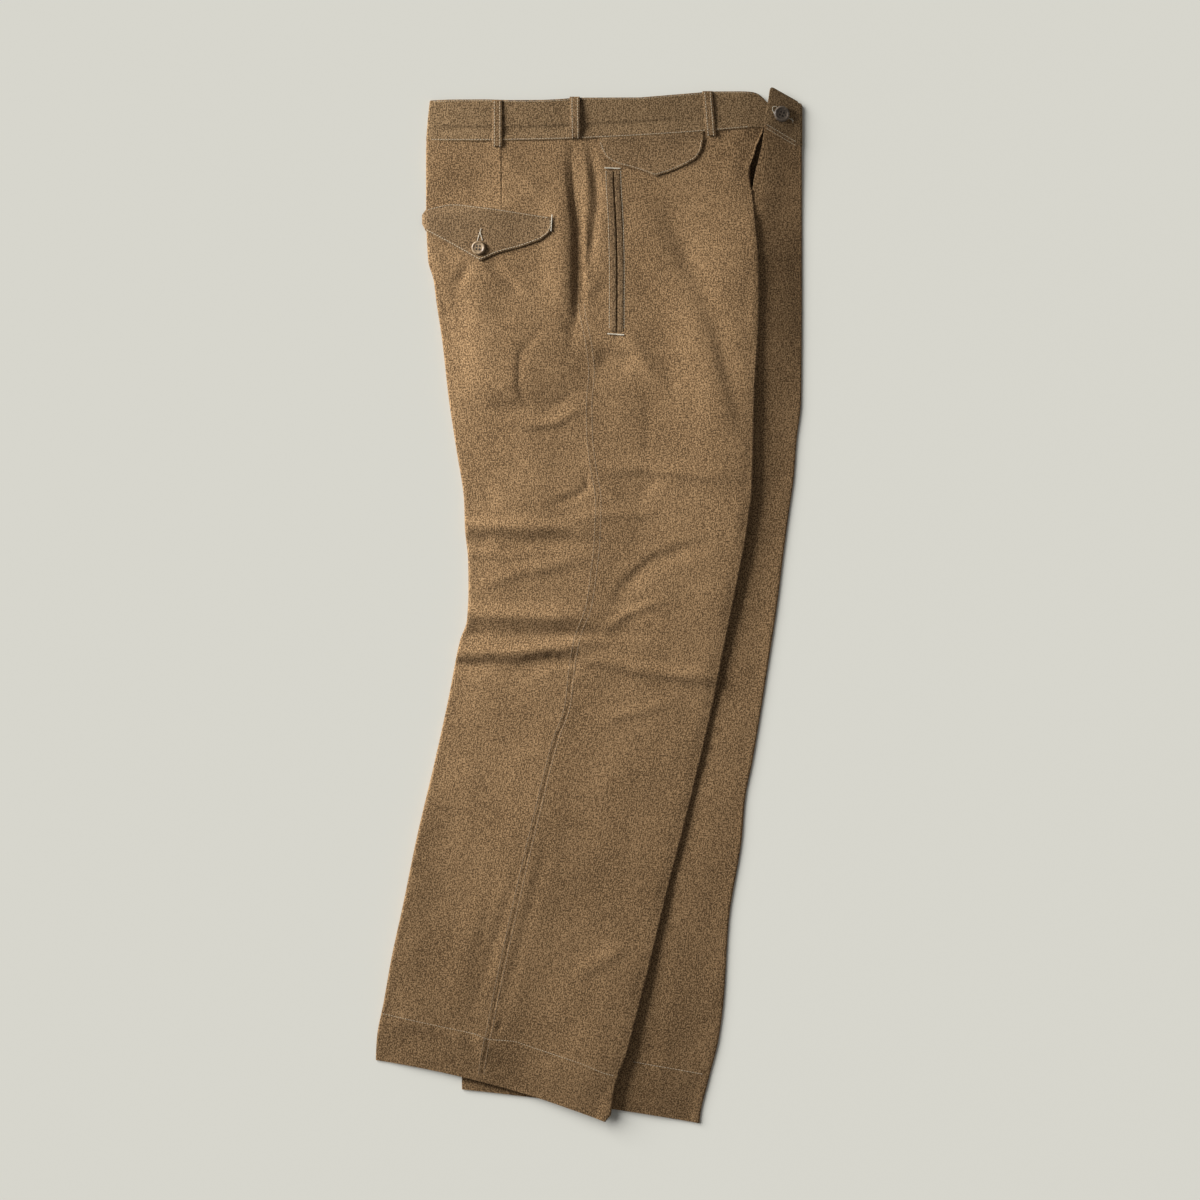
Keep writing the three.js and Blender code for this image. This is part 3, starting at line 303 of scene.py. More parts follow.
def straight(table):
    """Straight lines through a table's pairs of x and value."""
    xs, values = np.array(table, float).T
    return lambda x: np.interp(x, xs, values)


right_back_at = track(RIGHT_BACK_EDGE)
right_front_at = track(RIGHT_FRONT_EDGE)
right_outseam_at = track(RIGHT_OUTSEAM)
seat_wrap_at = track(SEAT_WRAP)
left_inset_at = track(LEFT_BACK_INSET)
front_rise_at = track(FRONT_RISE)
inseam_at = track(INSEAM)
left_front_at = track(LEFT_FRONT_EDGE)
left_outseam_at = track(LEFT_OUTSEAM)
crease_lift_at = track(CREASE_LIFT)
strip_tilt_at = track(STRIP_TILT)


def left_back_at(down):
    return right_back_at(down) + left_inset_at(down)


def back_end(down):
    return np.where(down < CROTCH_DOWN, right_back_at(down) + seat_wrap_at(down), inseam_at(down))


def front_end(down):
    return np.where(down < CROTCH_DOWN, front_rise_at(down), inseam_at(down))


FOLD_FADE = (-0.12, 0.3)  # shares of a fold's length over which its ends rise


def fold_height(fold, x, down):
    """Height of one fold at points of the plan."""
    nearest = np.full(np.shape(x), np.inf)
    along = np.zeros(np.shape(x))
    side = np.ones(np.shape(x))
    walked = 0.0
    for (ax, ad), (bx, bd) in zip(fold.points, fold.points[1:]):
        span = math.hypot(bx - ax, bd - ad)
        t = np.clip(((x - ax) * (bx - ax) + (down - ad) * (bd - ad)) / span ** 2, 0, 1)
        away = np.hypot(x - ax - t * (bx - ax), down - ad - t * (bd - ad))
        closer = away < nearest
        nearest = np.where(closer, away, nearest)
        along = np.where(closer, walked + t * span, along)
        side = np.where(closer, (bx - ax) * (down - ad) - (bd - ad) * (x - ax), side)
        walked += span
    reach = np.clip(nearest / np.where(side < 0, fold.waist, fold.hem), 0, 1)
    ends = ease(along / walked, *FOLD_FADE) * ease(1 - along / walked, *FOLD_FADE)
    profile = mix((1 - reach ** 2) ** 2, (1 - reach) ** 1.7, fold.crisp)
    return fold.rise * ends * profile


def folds_height(folds, x, down):
    return sum(fold_height(fold, x, down) for fold in folds)


def waves_height(x, down):
    return sum(w.height * np.sin(
        2 * math.pi * (x * math.cos(w.angle) + down * math.sin(w.angle)) / w.length + w.phase)
        for w in WAVES)


hem_stitch_at = straight(HEM_LINE)
left_hem_stitch_at = straight(LEFT_HEM_LINE)

# The left leg's upper layer. Names that end in DOWN are spans of distances down, those that end in
# X are spans across, and the other spans are distances from an edge or a crease
WAIST_DOWN = (60, 150)
WAIST_X = (170, 200)
FLY_DOWN = (60, 170)
FLY_X = (184, 222)
PAST_FLY_DOWN = (90, 110)
FLY_SLANT = 0.5
STRIP_SHOWN = (-4, 10)
STRIP_TUCKED = (-34, -4)
STRIP_EDGE = (0, 12)
STRIP_WIDTH = 52
LEFT_HEM_FALL = 1.2
LEFT_HEM_SLOPE = (0, 50)


def left_outer(x, down):
    return np.full(np.broadcast(x, down).shape, GROUND_LAYER)


def left_inner(x, down):
    """Height of the middle of the left leg's upper layer, the strip that shows."""
    waist = WAIST_EDGE_LIFT * (1 - ease(down, *WAIST_DOWN))
    past_fly = ease(down + (x - FLY_X[0]) * FLY_SLANT, *PAST_FLY_DOWN)
    toward_fly = np.clip((FLY_X[1] - x) / (FLY_X[1] - FLY_X[0]), 0, 1)
    fly = FLY_LIFT * toward_fly * (1 - ease(down, *FLY_DOWN))
    lift = waist * past_fly * ease(x, *WAIST_X) + waist * (1 - past_fly)
    past_right = x - right_front_at(down)
    from_edge = left_front_at(down) - x
    shown = ease(past_right, *STRIP_SHOWN)
    relief = (folds_height(STRIP_FOLDS, x, down) + waves_height(x, down)) * shown
    past_hem = down - left_hem_stitch_at(x)
    relief = relief - LEFT_HEM_FALL * ease(past_hem, *LEFT_HEM_SLOPE) * shown
    tilt = strip_tilt_at(down) * np.clip(from_edge / STRIP_WIDTH, 0, 1)
    tilt = tilt * ease(past_right, *STRIP_TUCKED)
    return LEFT_INNER_LAYER + lift + fly + relief * ease(from_edge, *STRIP_EDGE) + tilt


# The right leg's lower layer and the smoother run of its top cloth, each as a step up onto the left
# leg, where the step starts below the seat, and a rise to the front crease
Run = namedtuple("Run", "step_start step_reach seat_down crease")
INNER_RUN = Run(3, -4, (150, 180), (-42, -3))
TOP_RUN = Run(-12, 46, (150, 200), (-120, -2))
NEAR_FLY = 60
NEAR_FLY_DOWN = FLY_LAP_DOWN - 2


def laid_run(run, x, down, low):
    on_left_leg = ease(x - right_back_at(down), run.step_start, left_inset_at(down) + run.step_reach)
    started = np.where(x < 0, ease(down, *run.seat_down), 1)
    lift = crease_lift_at(down) * ease(x - right_front_at(down), *run.crease)
    return mix(low, RIGHT_INNER_LAYER, on_left_leg * started) + lift


def right_inner(x, down):
    height = laid_run(INNER_RUN, x, down, RIGHT_GROUND_LAYER)
    on_fly = left_inner(x, down) + LAYER_STEP
    near_fly = (x > right_front_at(down) - NEAR_FLY) & (down > NEAR_FLY_DOWN)
    return np.where(near_fly, np.maximum(height, on_fly), height)


# Where the inner layers lie under the top cloth
COVER_EDGE = (0, 28)
COVER_DOWN = (96, 140)
COVER_LEGS_DOWN = (262, CROTCH_DOWN)
SOFT_BACK_EDGE = (-20, 95)
SOFT_FRONT_EDGE = (-25, 125)
SOFT_DOWN = (90, 190)
SOFT_LEGS_DOWN = (205, CROTCH_DOWN + 40)


def covered(x, down):
    """How fully the inner layers lie under the top cloth."""
    from_back = x - right_back_at(down) - seat_wrap_at(down)
    from_front = np.where(down > FLY_LAP_DOWN, front_rise_at(down) - x, np.inf)
    at_back = 1 - ease(from_back, *COVER_EDGE)
    at_front = (1 - ease(from_front, *COVER_EDGE)) * ease(down, *COVER_DOWN)
    return np.maximum(np.maximum(at_back, at_front), ease(down, *COVER_LEGS_DOWN))


def soft_cover(x, down):
    """The same for the top cloth, which passes smoothly over the edges of those layers."""
    from_back = x - right_back_at(down) - seat_wrap_at(down)
    from_front = front_rise_at(down) - x
    at_back = 1 - ease(from_back, *SOFT_BACK_EDGE)
    at_front = (1 - ease(from_front, *SOFT_FRONT_EDGE)) * ease(down, *SOFT_DOWN)
    return 1 - (1 - at_back) * (1 - at_front) * (1 - ease(down, *SOFT_LEGS_DOWN))


# The outseam's fell, between its two rows of stitches, and the groove beside it
FELL_WIDTH = 6
FELL_BACK = -1.4  # the row of stitches nearer the seat, from the seam
FELL_STEP = 0.12
FELL_UP = (FELL_BACK - 1.8, FELL_BACK - 0.4)
FELL_OFF = (1.2, 2.6)
GROOVE_DEPTH = 0.34
GROOVE_PLACE = 2.8
GROOVE_WIDTH = 1.2
GROOVE_DOWN = (560, 660)


def bell(away, width):
    """A smooth bump of height 1."""
    return np.exp(-(away / width) ** 2)


def seam_relief(x, down):
    """The outseam's low fell, with a groove beside it that deepens below the knee."""
    past = x - right_outseam_at(down)
    fell = FELL_STEP * ease(past, *FELL_UP) * (1 - ease(past, *FELL_OFF))
    return fell - GROOVE_DEPTH * bell(past - GROOVE_PLACE, GROOVE_WIDTH) * ease(down, *GROOVE_DOWN)


# The dart over the back pocket
DART_X = -94.3
DART_END = 125
DART_STEP = 0.35
DART_UP = (-7, -0.6)
DART_OFF = (-0.6, 0.7)
DART_GROOVE = 0.3
DART_GROOVE_PLACE = 0.6
DART_GROOVE_WIDTH = 0.7
DART_FADE_DOWN = (DART_END - 5, DART_END)


def dart_relief(x, down):
    """The sewn dart over the back pocket: a step down toward the fly along a straight line."""
    past = x - DART_X
    step = DART_STEP * ease(past, *DART_UP) * (1 - ease(past, *DART_OFF))
    groove = DART_GROOVE * bell(past - DART_GROOVE_PLACE, DART_GROOVE_WIDTH)
    return (step - groove) * (1 - ease(down, *DART_FADE_DOWN))


# The turned-up hem
HEM_FALL = 3.7
HEM_SLOPE = (0, 60)
HEM_GROOVE = 0.35
HEM_GROOVE_WIDTH = 1.6


def hem_relief(x, down):
    """The turned-up hem: a groove at its stitches, then a slope down to the edge."""
    past = down - hem_stitch_at(x)
    fall = HEM_FALL * -ease(past, *HEM_SLOPE) * (past > 0)
    return fall - HEM_GROOVE * bell(past, HEM_GROOVE_WIDTH)


# The top cloth. Its forms beside the front crease have a height, a width from the crease and a span
# of distances down
FrontForm = namedtuple("FrontForm", "height width down")
ROLL_OFF = FrontForm(0.9, 13, (110, 150))
FLY_DIP = FrontForm(1.6, 22, (84, 110))
LAP_RISE = FrontForm(5.8, 90, (46, 104))
HIP_DOWN = (58, 120)
HEM_SWELL_DOWN = (840, 990)
SWELL_EDGE = (0, 40)
RELIEF_EDGE = (0, 10)
TOP_OVER_GROUND = 1.8
TOP_OVER_INNER = 1.9
FOLD_OVER_INNER = 1.7


def right_outer(x, down):
    """Height of the middle of the right leg's top cloth, with its folds."""
    from_back = x - right_back_at(down)
    from_front = right_front_at(down) - x
    from_edge = np.minimum(from_back, from_front)

    def beside_crease(form):
        return form.height * (1 - ease(from_front, 0, form.width))

    swell = LEG_SWELL + HEM_SWELL * ease(down, *HEM_SWELL_DOWN)
    swell = swell * ease(from_edge, *SWELL_EDGE)
    roll_off = beside_crease(ROLL_OFF) * ease(down, *ROLL_OFF.down)
    fly_dip = beside_crease(FLY_DIP) * (1 - ease(down, *FLY_DIP.down))
    lap_rise = beside_crease(LAP_RISE) * ease(down, *LAP_RISE.down)
    top_base = laid_run(TOP_RUN, x, down, RIGHT_GROUND_LAYER + BACK_CREASE_PUFF)
    laid = top_base + CREASE_DEPTH + swell - roll_off
    hips = HIP_LAYER + HIP_SWELL * ease(down, *HIP_DOWN) - fly_dip + lap_rise
    height = mix(hips, laid, soft_cover(x, down))
    cover = covered(x, down)
    inner = right_inner(x, down)
    on_ground = GROUND_LAYER + TOP_OVER_GROUND
    height = np.maximum(height, mix(on_ground, inner + TOP_OVER_INNER, cover))
    height = height + folds_height(TOP_FOLDS, x, down)
    height = height + (waves_height(x, down) + seam_relief(x, down)) * ease(from_edge, *RELIEF_EDGE)
    height = height + hem_relief(x, down) + dart_relief(x, down)
    return np.maximum(height, mix(on_ground, inner + FOLD_OVER_INNER, cover))


# Meshes
garment = bpy.data.collections.new("trousers")
bpy.context.scene.collection.children.link(garment)


def to_frame(x, down, height):
    return np.stack([(x + PLAN_X) * MM, (PLAN_Y - down) * MM, height * MM], axis=-1)


def make_object(name, vertices, faces, material, uv=None, sharp=50):
    mesh = bpy.data.meshes.new(name)
    mesh.from_pydata(np.reshape(vertices, (-1, 3)).tolist(), [], faces)
    mesh.polygons.foreach_set("use_smooth", [True] * len(mesh.polygons))
    mesh.set_sharp_from_angle(angle=math.radians(sharp))
    if uv is not None:
        layer = mesh.uv_layers.new(name="cloth")
        corners = np.empty(len(mesh.loops), dtype=np.int32)
        mesh.loops.foreach_get("vertex_index", corners)
        layer.data.foreach_set("uv", np.reshape(uv, (-1, 2))[corners].ravel())
    mesh.materials.append(material)
    mesh.update()
    piece = bpy.data.objects.new(name, mesh)
    garment.objects.link(piece)
    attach(piece, "root")
    return piece


def grid_normals(grid, before=None):
    """Normals of a grid of points; before holds the points just past its first column."""
    across = np.empty_like(grid)
    across[:, 1:-1] = grid[:, 2:] - grid[:, :-2]
    across[:, 0] = grid[:, 1] - (grid[:, 0] if before is None else before)
    across[:, -1] = grid[:, -1] - grid[:, -2]
    along = np.empty_like(grid)
    along[1:-1] = grid[2:] - grid[:-2]
    along[0] = grid[1] - grid[0]
    along[-1] = grid[-1] - grid[-2]
    normal = np.cross(across, along)
    return normal / np.linalg.norm(normal, axis=-1, keepdims=True)


EDGE_SHARES = (0.55, 0.85)  # of the thickness of a wall, on the two rings of its soft edge


def wall(name, grid, thickness, material, uv, before=None, soft_edge=0):
    """A closed wall of cloth round a grid of points, thinned to a round edge where asked."""
    rows, columns = grid.shape[:2]
    half = np.full((rows, columns, 1), thickness * MM / 2)
    for ring, thinned in enumerate(EDGE_SHARES[:soft_edge]):
        for line in (half[ring], half[-1 - ring], half[:, ring], half[:, -1 - ring]):
            np.minimum(line, thickness * MM / 2 * thinned, out=line)
    normal = grid_normals(grid, before)
    vertices = np.concatenate([(grid + normal * half).reshape(-1, 3),
                               (grid - normal * half).reshape(-1, 3)])
    number = np.arange(rows * columns).reshape(rows, columns)
    other = number + rows * columns
    faces = []

    def quads(a, b, c, d):
        faces.extend(zip(a.ravel().tolist(), b.ravel().tolist(), c.ravel().tolist(),
                         d.ravel().tolist()))
    quads(number[:-1, :-1], number[:-1, 1:], number[1:, 1:], number[1:, :-1])
    quads(other[:-1, :-1], other[1:, :-1], other[1:, 1:], other[:-1, 1:])
    quads(number[0, 1:], number[0, :-1], other[0, :-1], other[0, 1:])
    quads(number[-1, :-1], number[-1, 1:], other[-1, 1:], other[-1, :-1])
    quads(number[:-1, 0], number[1:, 0], other[1:, 0], other[:-1, 0])
    quads(number[1:, -1], number[:-1, -1], other[:-1, -1], other[1:, -1])
    both = np.concatenate([uv.reshape(-1, 2), uv.reshape(-1, 2)])
    return make_object(name, vertices, faces, material, both)


# Shader maths
class Signal:
    """A number, colour or vector that comes out of a material's node."""

    def __init__(self, finish, socket):
        self.finish = finish
        self.socket = socket

    def _math(self, operation, *values):
        return self.finish.node("ShaderNodeMath", {"operation": operation},
                                {i: value for i, value in enumerate(values)})

    def __add__(self, other):
        return self._math("ADD", self, other)

    def __radd__(self, other):
        return self._math("ADD", other, self)

    def __sub__(self, other):
        return self._math("SUBTRACT", self, other)

    def __rsub__(self, other):
        return self._math("SUBTRACT", other, self)

    def __mul__(self, other):
        return self._math("MULTIPLY", self, other)

    def __rmul__(self, other):
        return self._math("MULTIPLY", other, self)


class Finish:
    """A material under construction."""

    def __init__(self, name):
        self.material = bpy.data.materials.new(name)
        self.material.use_nodes = True
        self.tree = self.material.node_tree
        self.tree.nodes.clear()

    def node(self, kind, settings=None, inputs=None, output=0):
        """Add a node: its settings first, then the values or links of its sockets."""
        node = self.tree.nodes.new(kind)
        for key, value in (settings or {}).items():
            if key == "stops":
                ramp = node.color_ramp
                while len(ramp.elements) < len(value):
                    ramp.elements.new(0.5)
                for element, (position, colour) in zip(ramp.elements, value):
                    element.position = position
                    element.color = (*colour, 1)
            else:
                setattr(node, key, value)
        for key, value in (inputs or {}).items():
            if isinstance(value, Signal):
                self.tree.links.new(value.socket, node.inputs[key])
            elif value is not None:
                node.inputs[key].default_value = value
        if node.outputs:
            return Signal(self, node.outputs[output])
        return None

    def blend(self, share, first, second, how="MIX"):
        """Mix two colours."""
        return self.node("ShaderNodeMix", {"data_type": "RGBA", "blend_type": how},
                         {0: share, 6: first, 7: second}, 2)

    def end(self, **inputs):
        """Finish the material with one shader and give it back."""
        sockets = {key.replace("_", " "): value for key, value in inputs.items()}
        shader = self.node("ShaderNodeBsdfPrincipled", None, sockets)
        self.node("ShaderNodeOutputMaterial", None, {"Surface": shader})
        return self.material


# Yarns of the cloth: sizes of their noise across and along it in millimetres, a shift that sets one
# apart from another, and their share in the cloth's colour
Yarn = namedtuple("Yarn", "across along detail shift share")
SPECKLE = Yarn(1.2, 1.7, 1.0, 0.0, 0.62)
SLUB = Yarn(1.1, 9.0, 2.0, 7.3, 0.3)
WEFT = Yarn(4.5, 1.2, 1.0, 3.1, 0.16)
DRIFT = Yarn(60.0, 90.0, 3.0, 11.0, 0.1)
YARNS_CENTRE = 0.09  # brings the yarns' sum back to the middle of the ramp
DARK_YARN = (0.072, 0.040, 0.015)
BROWN_YARN = (0.186, 0.107, 0.046)
LIGHT_YARN = (0.350, 0.220, 0.108)
TWILL_LINE = (900.0, -620.0, 0)  # ridges to a metre: the line runs up to the right, one each 0.9 mm


def twill(name, painted_shade=(1, 1, 1)):
    """Heathered twill: yarns of three browns, slubs down the warp and a fine twill line, darkened by a
    tint of painted shade where one is given.
    """
    f = Finish(name)
    place = f.node("ShaderNodeUVMap", {"uv_map": "cloth"})

    def noise(yarn):
        spread = f.node("ShaderNodeVectorMath", {"operation": "MULTIPLY"},
                        {0: place, 1: (1 / (yarn.across * MM), 1 / (yarn.along * MM), 0)})
        moved = f.node("ShaderNodeVectorMath", {"operation": "ADD"},
                       {0: spread, 1: (yarn.shift, yarn.shift * 1.7, yarn.shift)})
        return f.node("ShaderNodeTexNoise", {"noise_dimensions": "2D"},
                      {"Vector": moved, "Scale": 1.0, "Detail": yarn.detail, "Roughness": 0.6})

    speckle = noise(SPECKLE)
    slub = noise(SLUB)
    heather = speckle * SPECKLE.share + slub * SLUB.share
    heather = heather + noise(WEFT) * WEFT.share + noise(DRIFT) * DRIFT.share - YARNS_CENTRE
    colour = f.node("ShaderNodeValToRGB", {"stops": [
        (0.405, DARK_YARN), (0.50, BROWN_YARN), (0.595, LIGHT_YARN)]}, {0: heather})
    # The yarns' colour times a tint of painted shade; the main twill's tint is white
    with_painted_shade = f.blend(1.0, colour, (*painted_shade, 1), "MULTIPLY")
    slope = f.node("ShaderNodeVectorMath", {"operation": "DOT_PRODUCT"}, {0: place, 1: TWILL_LINE}, 1)
    ridge = f.node("ShaderNodeMath", {"operation": "SINE"}, {0: slope * (2 * math.pi)})
    bump = f.node("ShaderNodeBump", None, {"Strength": 0.35, "Distance": 0.0005,
                                           "Height": ridge * 0.18 + speckle * 0.8 + slub * 0.5})
    return f.end(Base_Color=with_painted_shade, Roughness=0.86 + speckle * 0.12, Normal=bump, Sheen_Weight=0.05,
                 Sheen_Roughness=0.5, Specular_IOR_Level=0.25)


def thread(name, colour):
    """Spun thread, with painted shade in the hollows of its bump."""
    f = Finish(name)
    place = f.node("ShaderNodeTexCoord", None, None, 3)
    fluff = f.node("ShaderNodeTexNoise", None, {"Vector": place, "Scale": 900.0, "Detail": 2.0})
    # The colour darkens where the bump is low: painted shade in the hollows
    hollow = tuple(0.72 * c for c in colour)
    shade = f.node("ShaderNodeValToRGB", {"stops": [(0.35, hollow), (0.65, colour)]}, {0: fluff})
    bump = f.node("ShaderNodeBump", None, {"Strength": 0.4, "Distance": 0.0002, "Height": fluff})
    return f.end(Base_Color=shade, Roughness=0.7, Normal=bump, Sheen_Weight=0.1)


def horn(name, dark, light, polish):
    """Clouded horn with a dull polish."""
    f = Finish(name)
    place = f.node("ShaderNodeTexCoord", None, None, 3)
    cloud = f.node("ShaderNodeTexNoise", None,
                   {"Vector": place, "Scale": 220.0, "Detail": 4.0, "Distortion": 1.2})
    shade = f.node("ShaderNodeValToRGB", {"stops": [(0.35, dark), (0.62, light)]}, {0: cloud})
    return f.end(Base_Color=shade, Roughness=0.45 + cloud * 0.1, Coat_Weight=polish,
                 Coat_Roughness=0.15)


main_twill = twill("main_twill")
# The twills of the band, the flaps and the loops are the main twill darkened by tints, which are
# painted shade; the cloth is the same
band_twill = twill("waistband_twill", (0.90, 0.94, 0.98))
# The fly shield's twill is darkened to half: painted shade of the hollow in the fly's gap
shield_twill_painted_shade = twill("shield_twill_painted_shade", (0.5, 0.5, 0.5))
flap_twill = twill("flap_twill", (0.77, 0.79, 0.82))
watch_twill = twill("watch_flap_twill", (0.94, 0.96, 0.99))
loop_twill = twill("loop_twill", (0.92, 0.94, 0.98))
tan_thread = thread("tan_thread", (0.58, 0.47, 0.32))
brown_thread = thread("brown_thread", (0.36, 0.26, 0.155))
pale_thread = thread("pale_thread", (0.68, 0.61, 0.48))
# Near-black thread in the buttons' holes: its colour is painted shade of the holes
hole_shade_thread = thread("hole_shade_thread", (0.035, 0.024, 0.014))
pale_horn = horn("pale_horn", (0.14, 0.088, 0.045), (0.30, 0.21, 0.12), 0.1)
dark_horn = horn("dark_horn", (0.05, 0.036, 0.024), (0.17, 0.128, 0.092), 0.08)


# Rows and panels
def leg_rows(table, spacing, back_at, seam_at, front_at):
    """Rows of a leg as arrays of one column each."""
    levels = []
    for row, after in zip(table, table[1:]):
        steps = max(1, round((after.seam - row.seam) / spacing))
        levels += [[mix(a, b, i / steps) for a, b in zip(row, after)] for i in range(steps)]
    levels.append(list(table[-1]))
    back, seam, front, lean = np.array(levels, float).T[:, :, None]
    return {"back": (back_at(back), back), "seam": (seam_at(seam), seam),
            "front": (front_at(front), front), "lean": lean}


def row_down(row, x):
    """Distance down of a row at x, on the parabola through its three points."""
    (xb, db), (xs, ds), (xf, df) = row["back"], row["seam"], row["front"]
    return (db * (x - xs) * (x - xf) / ((xb - xs) * (xb - xf))
            + ds * (x - xb) * (x - xf) / ((xs - xb) * (xs - xf))
            + df * (x - xb) * (x - xs) / ((xf - xb) * (xf - xs)))


def row_lean(row, x):
    return row["lean"] * np.clip((row["front"][0] - x) / LEAN_LENGTH, 0, 1)


def run_end(row, end_at):
    """Where a row meets the line at which its panel ends."""
    x = end_at(row["seam"][1])
    for _ in range(END_ROUNDS):
        x = end_at(row_down(row, x) + row_lean(row, x))
    return x


def cumulative(grid):
    """Distance walked along each row of a grid."""
    steps = np.linalg.norm(np.diff(grid, axis=1), axis=-1)
    return np.cumsum(np.concatenate([np.zeros((len(grid), 1)), steps], axis=1), axis=1)


def even(count):
    """Shares of a run of even steps, without its start."""
    return np.linspace(0, 1, count + 1)[1:]


def dress(piece, node):
    """Let a piece stand for a solid of the part, whose own mesh is hidden."""
    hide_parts(node)
    return piece


END_ROUNDS = 6
ROLL_STEPS = 8
PAST_SEAM = 1.0
FRONT_CUT = 0.5  # sets the fronts' cloth apart from the backs'
GRAIN_BEND = 0.15


def panel(node, row, side, first, second, end_at, turn_at, near_seam, run_shares, end_shares):
    """A leg panel: from the outseam to the crease on one layer, round it, and back on the other."""
    edge_x, edge_down = row["back"] if side < 0 else row["front"]
    seam_x, seam_down = row["seam"]
    corner = edge_x - side * CREASE_RADIUS
    close = seam_x + side * SEWN_GAP / 2 + side * np.array(near_seam)[None, :]
    run = np.concatenate([close, mix(close[:, -1:], corner, run_shares[None, :])], axis=1)
    run_down = row_down(row, run)
    corner_down = row_down(row, corner)
    over = first(corner, corner_down)
    under = second(corner, corner_down)
    turn = turn_at(edge_down)
    count = ROLL_STEPS + len(end_shares)
    whole = turn == 1
    step = np.arange(1, count + 1)[None, :]
    angle = math.pi * np.where(whole, np.minimum(step / ROLL_STEPS, 1), turn * step / count)
    roll_x = corner + side * CREASE_RADIUS * np.sin(angle)
    roll_height = (over + under) / 2 + (over - under) / 2 * np.cos(angle)
    end = run_end(row, end_at) + side * SEAM_GAP / 2
    back_x = corner + (end - corner) * np.concatenate([np.zeros(ROLL_STEPS), end_shares])[None, :]
    beneath = whole & (step > ROLL_STEPS)
    tail_x = np.where(beneath, back_x, roll_x)
    tail_down = np.where(beneath, row_down(row, back_x) + row_lean(row, back_x), corner_down)
    tail_height = np.where(beneath, second(tail_x, tail_down), roll_height)
    down = np.concatenate([run_down, tail_down], axis=1)
    grid = to_frame(np.concatenate([run, tail_x], axis=1), down,
                    np.concatenate([first(run, run_down), tail_height], axis=1))
    past_x = seam_x - side * PAST_SEAM
    past = to_frame(past_x, row_down(row, past_x), first(past_x, row_down(row, past_x)))[:, 0]
    across = side * cumulative(grid) + (FRONT_CUT if side > 0 else 0)
    along = -seam_down * MM + GRAIN_BEND * ((seam_down - down) * MM)
    piece = wall(node + "_cloth", grid, CLOTH, main_twill, np.stack([across, along], axis=-1), past)
    return dress(piece, node)


NEAR_SEAM = [0, 0.5, 1.0, 1.6, 2.4, 3.4, 4.6, 5.8, 6.6, 7.4, 8.6, 10]
DART_SHARE = 0.464  # of the way from beside the outseam to the back crease
DART_STEPS = np.array([-0.018, -0.010, -0.005, 0, 0.004, 0.008, 0.014])
BACK_SHARES = np.sort(np.concatenate([even(42), DART_SHARE + DART_STEPS]))
STRIP_SHARE = 0.4  # of the left front's upper layer, the part that shows
STRIP_SHARES = np.concatenate([STRIP_SHARE * even(30), STRIP_SHARE + (1 - STRIP_SHARE) * even(12)])
RIGHT_SPACING = 3.3
LEFT_SPACING = 5.0
LEFT_SEAT_DOWN = 184
right_leg = leg_rows(RIGHT_ROWS, RIGHT_SPACING, right_back_at, right_outseam_at, right_front_at)
left_leg = leg_rows(LEFT_ROWS, LEFT_SPACING, left_back_at, left_outseam_at, left_front_at)


def whole_turn(down):
    """How far round its crease a panel goes, here all the way to the other layer."""
    return np.ones(np.shape(down))


def fly_turn(down):
    """The right front goes half round its crease where the fly is open."""
    return np.where(down < FLY_LAP_DOWN + 1, 0.5, 1.0)


def seat_turn(down):
    """The left back stops soon after its crease above the crotch."""
    return np.where(down < LEFT_SEAT_DOWN, 0.2, 1.0)


right_front = panel("right_front", right_leg, 1, right_outer, right_inner, front_end, fly_turn,
                    NEAR_SEAM, even(52), even(22))
right_back = panel("right_back", right_leg, -1, right_outer, right_inner, back_end, whole_turn,
                   NEAR_SEAM, BACK_SHARES, even(22))
left_front = panel("left_front", left_leg, 1, left_outer, left_inner, front_end, whole_turn,
                   [0], even(12), STRIP_SHARES)
left_back = panel("left_back", left_leg, -1, left_outer, left_inner, back_end, seat_turn,
                  [0], even(10), even(12))

# Waistbands: pairs of x and distance down, or x and height
band_top_at = straight([
    (-170, 10.6), (-150, 9.8), (-110, 9.6), (-85, 10.4), (-50, 10.2), (-30, 9.2), (-16, 7.8),
    (53, 7.6), (117, 2.3), (129, 1.3), (160, 1.1), (168, 1.3), (173, 1.9), (177, 3.1), (180, 4.8),
    (183, 7.3), (186, 10.4), (188, 12.6), (200, 18), (213, 24)])
band_height_at = straight([
    (-172, 3.9), (-164, 4.7), (-150, 5.6), (150, 5.9), (160, 5.75), (168, 5.4), (176, 4.8),
    (184, 4.0), (190, 3.8), (202, 4.4), (213, 4.2)])
BAND_LAP = 0.6  # the band's lower edge covers the seam
BAND_END_X = 213
BAND_BACK_X = -164
BAND_ROLL_X = -168
BAND_DIVE_X = 181  # past here the right band slopes down beneath the tab
BAND_DIVE = 0.42
PANEL_TOP_X = 180  # the front's own top ends here
BAND_SHARES = [0, 0.015, 0.04, 0.08, 0.15, 0.23, 0.31, 0.39, 0.47, 0.53, 0.57, 0.59, 0.61, 0.63,
               0.65, 0.67, 0.69, 0.71, 0.74, 0.78, 0.82, 0.87, 0.91, 0.94, 0.97, 0.985, 1]
RELIEF_FADE_X = (-172, -150)

# Where on the bolt the small pieces are cut, in metres, so that no two repeat the same yarns
BAND_CUT = (1.3, 0.7)
FLAP_CUT = (2.1, 0.4)
WELT_CUT = (3.3, 0)
LOOP_CUT = (0.9, 1.9)

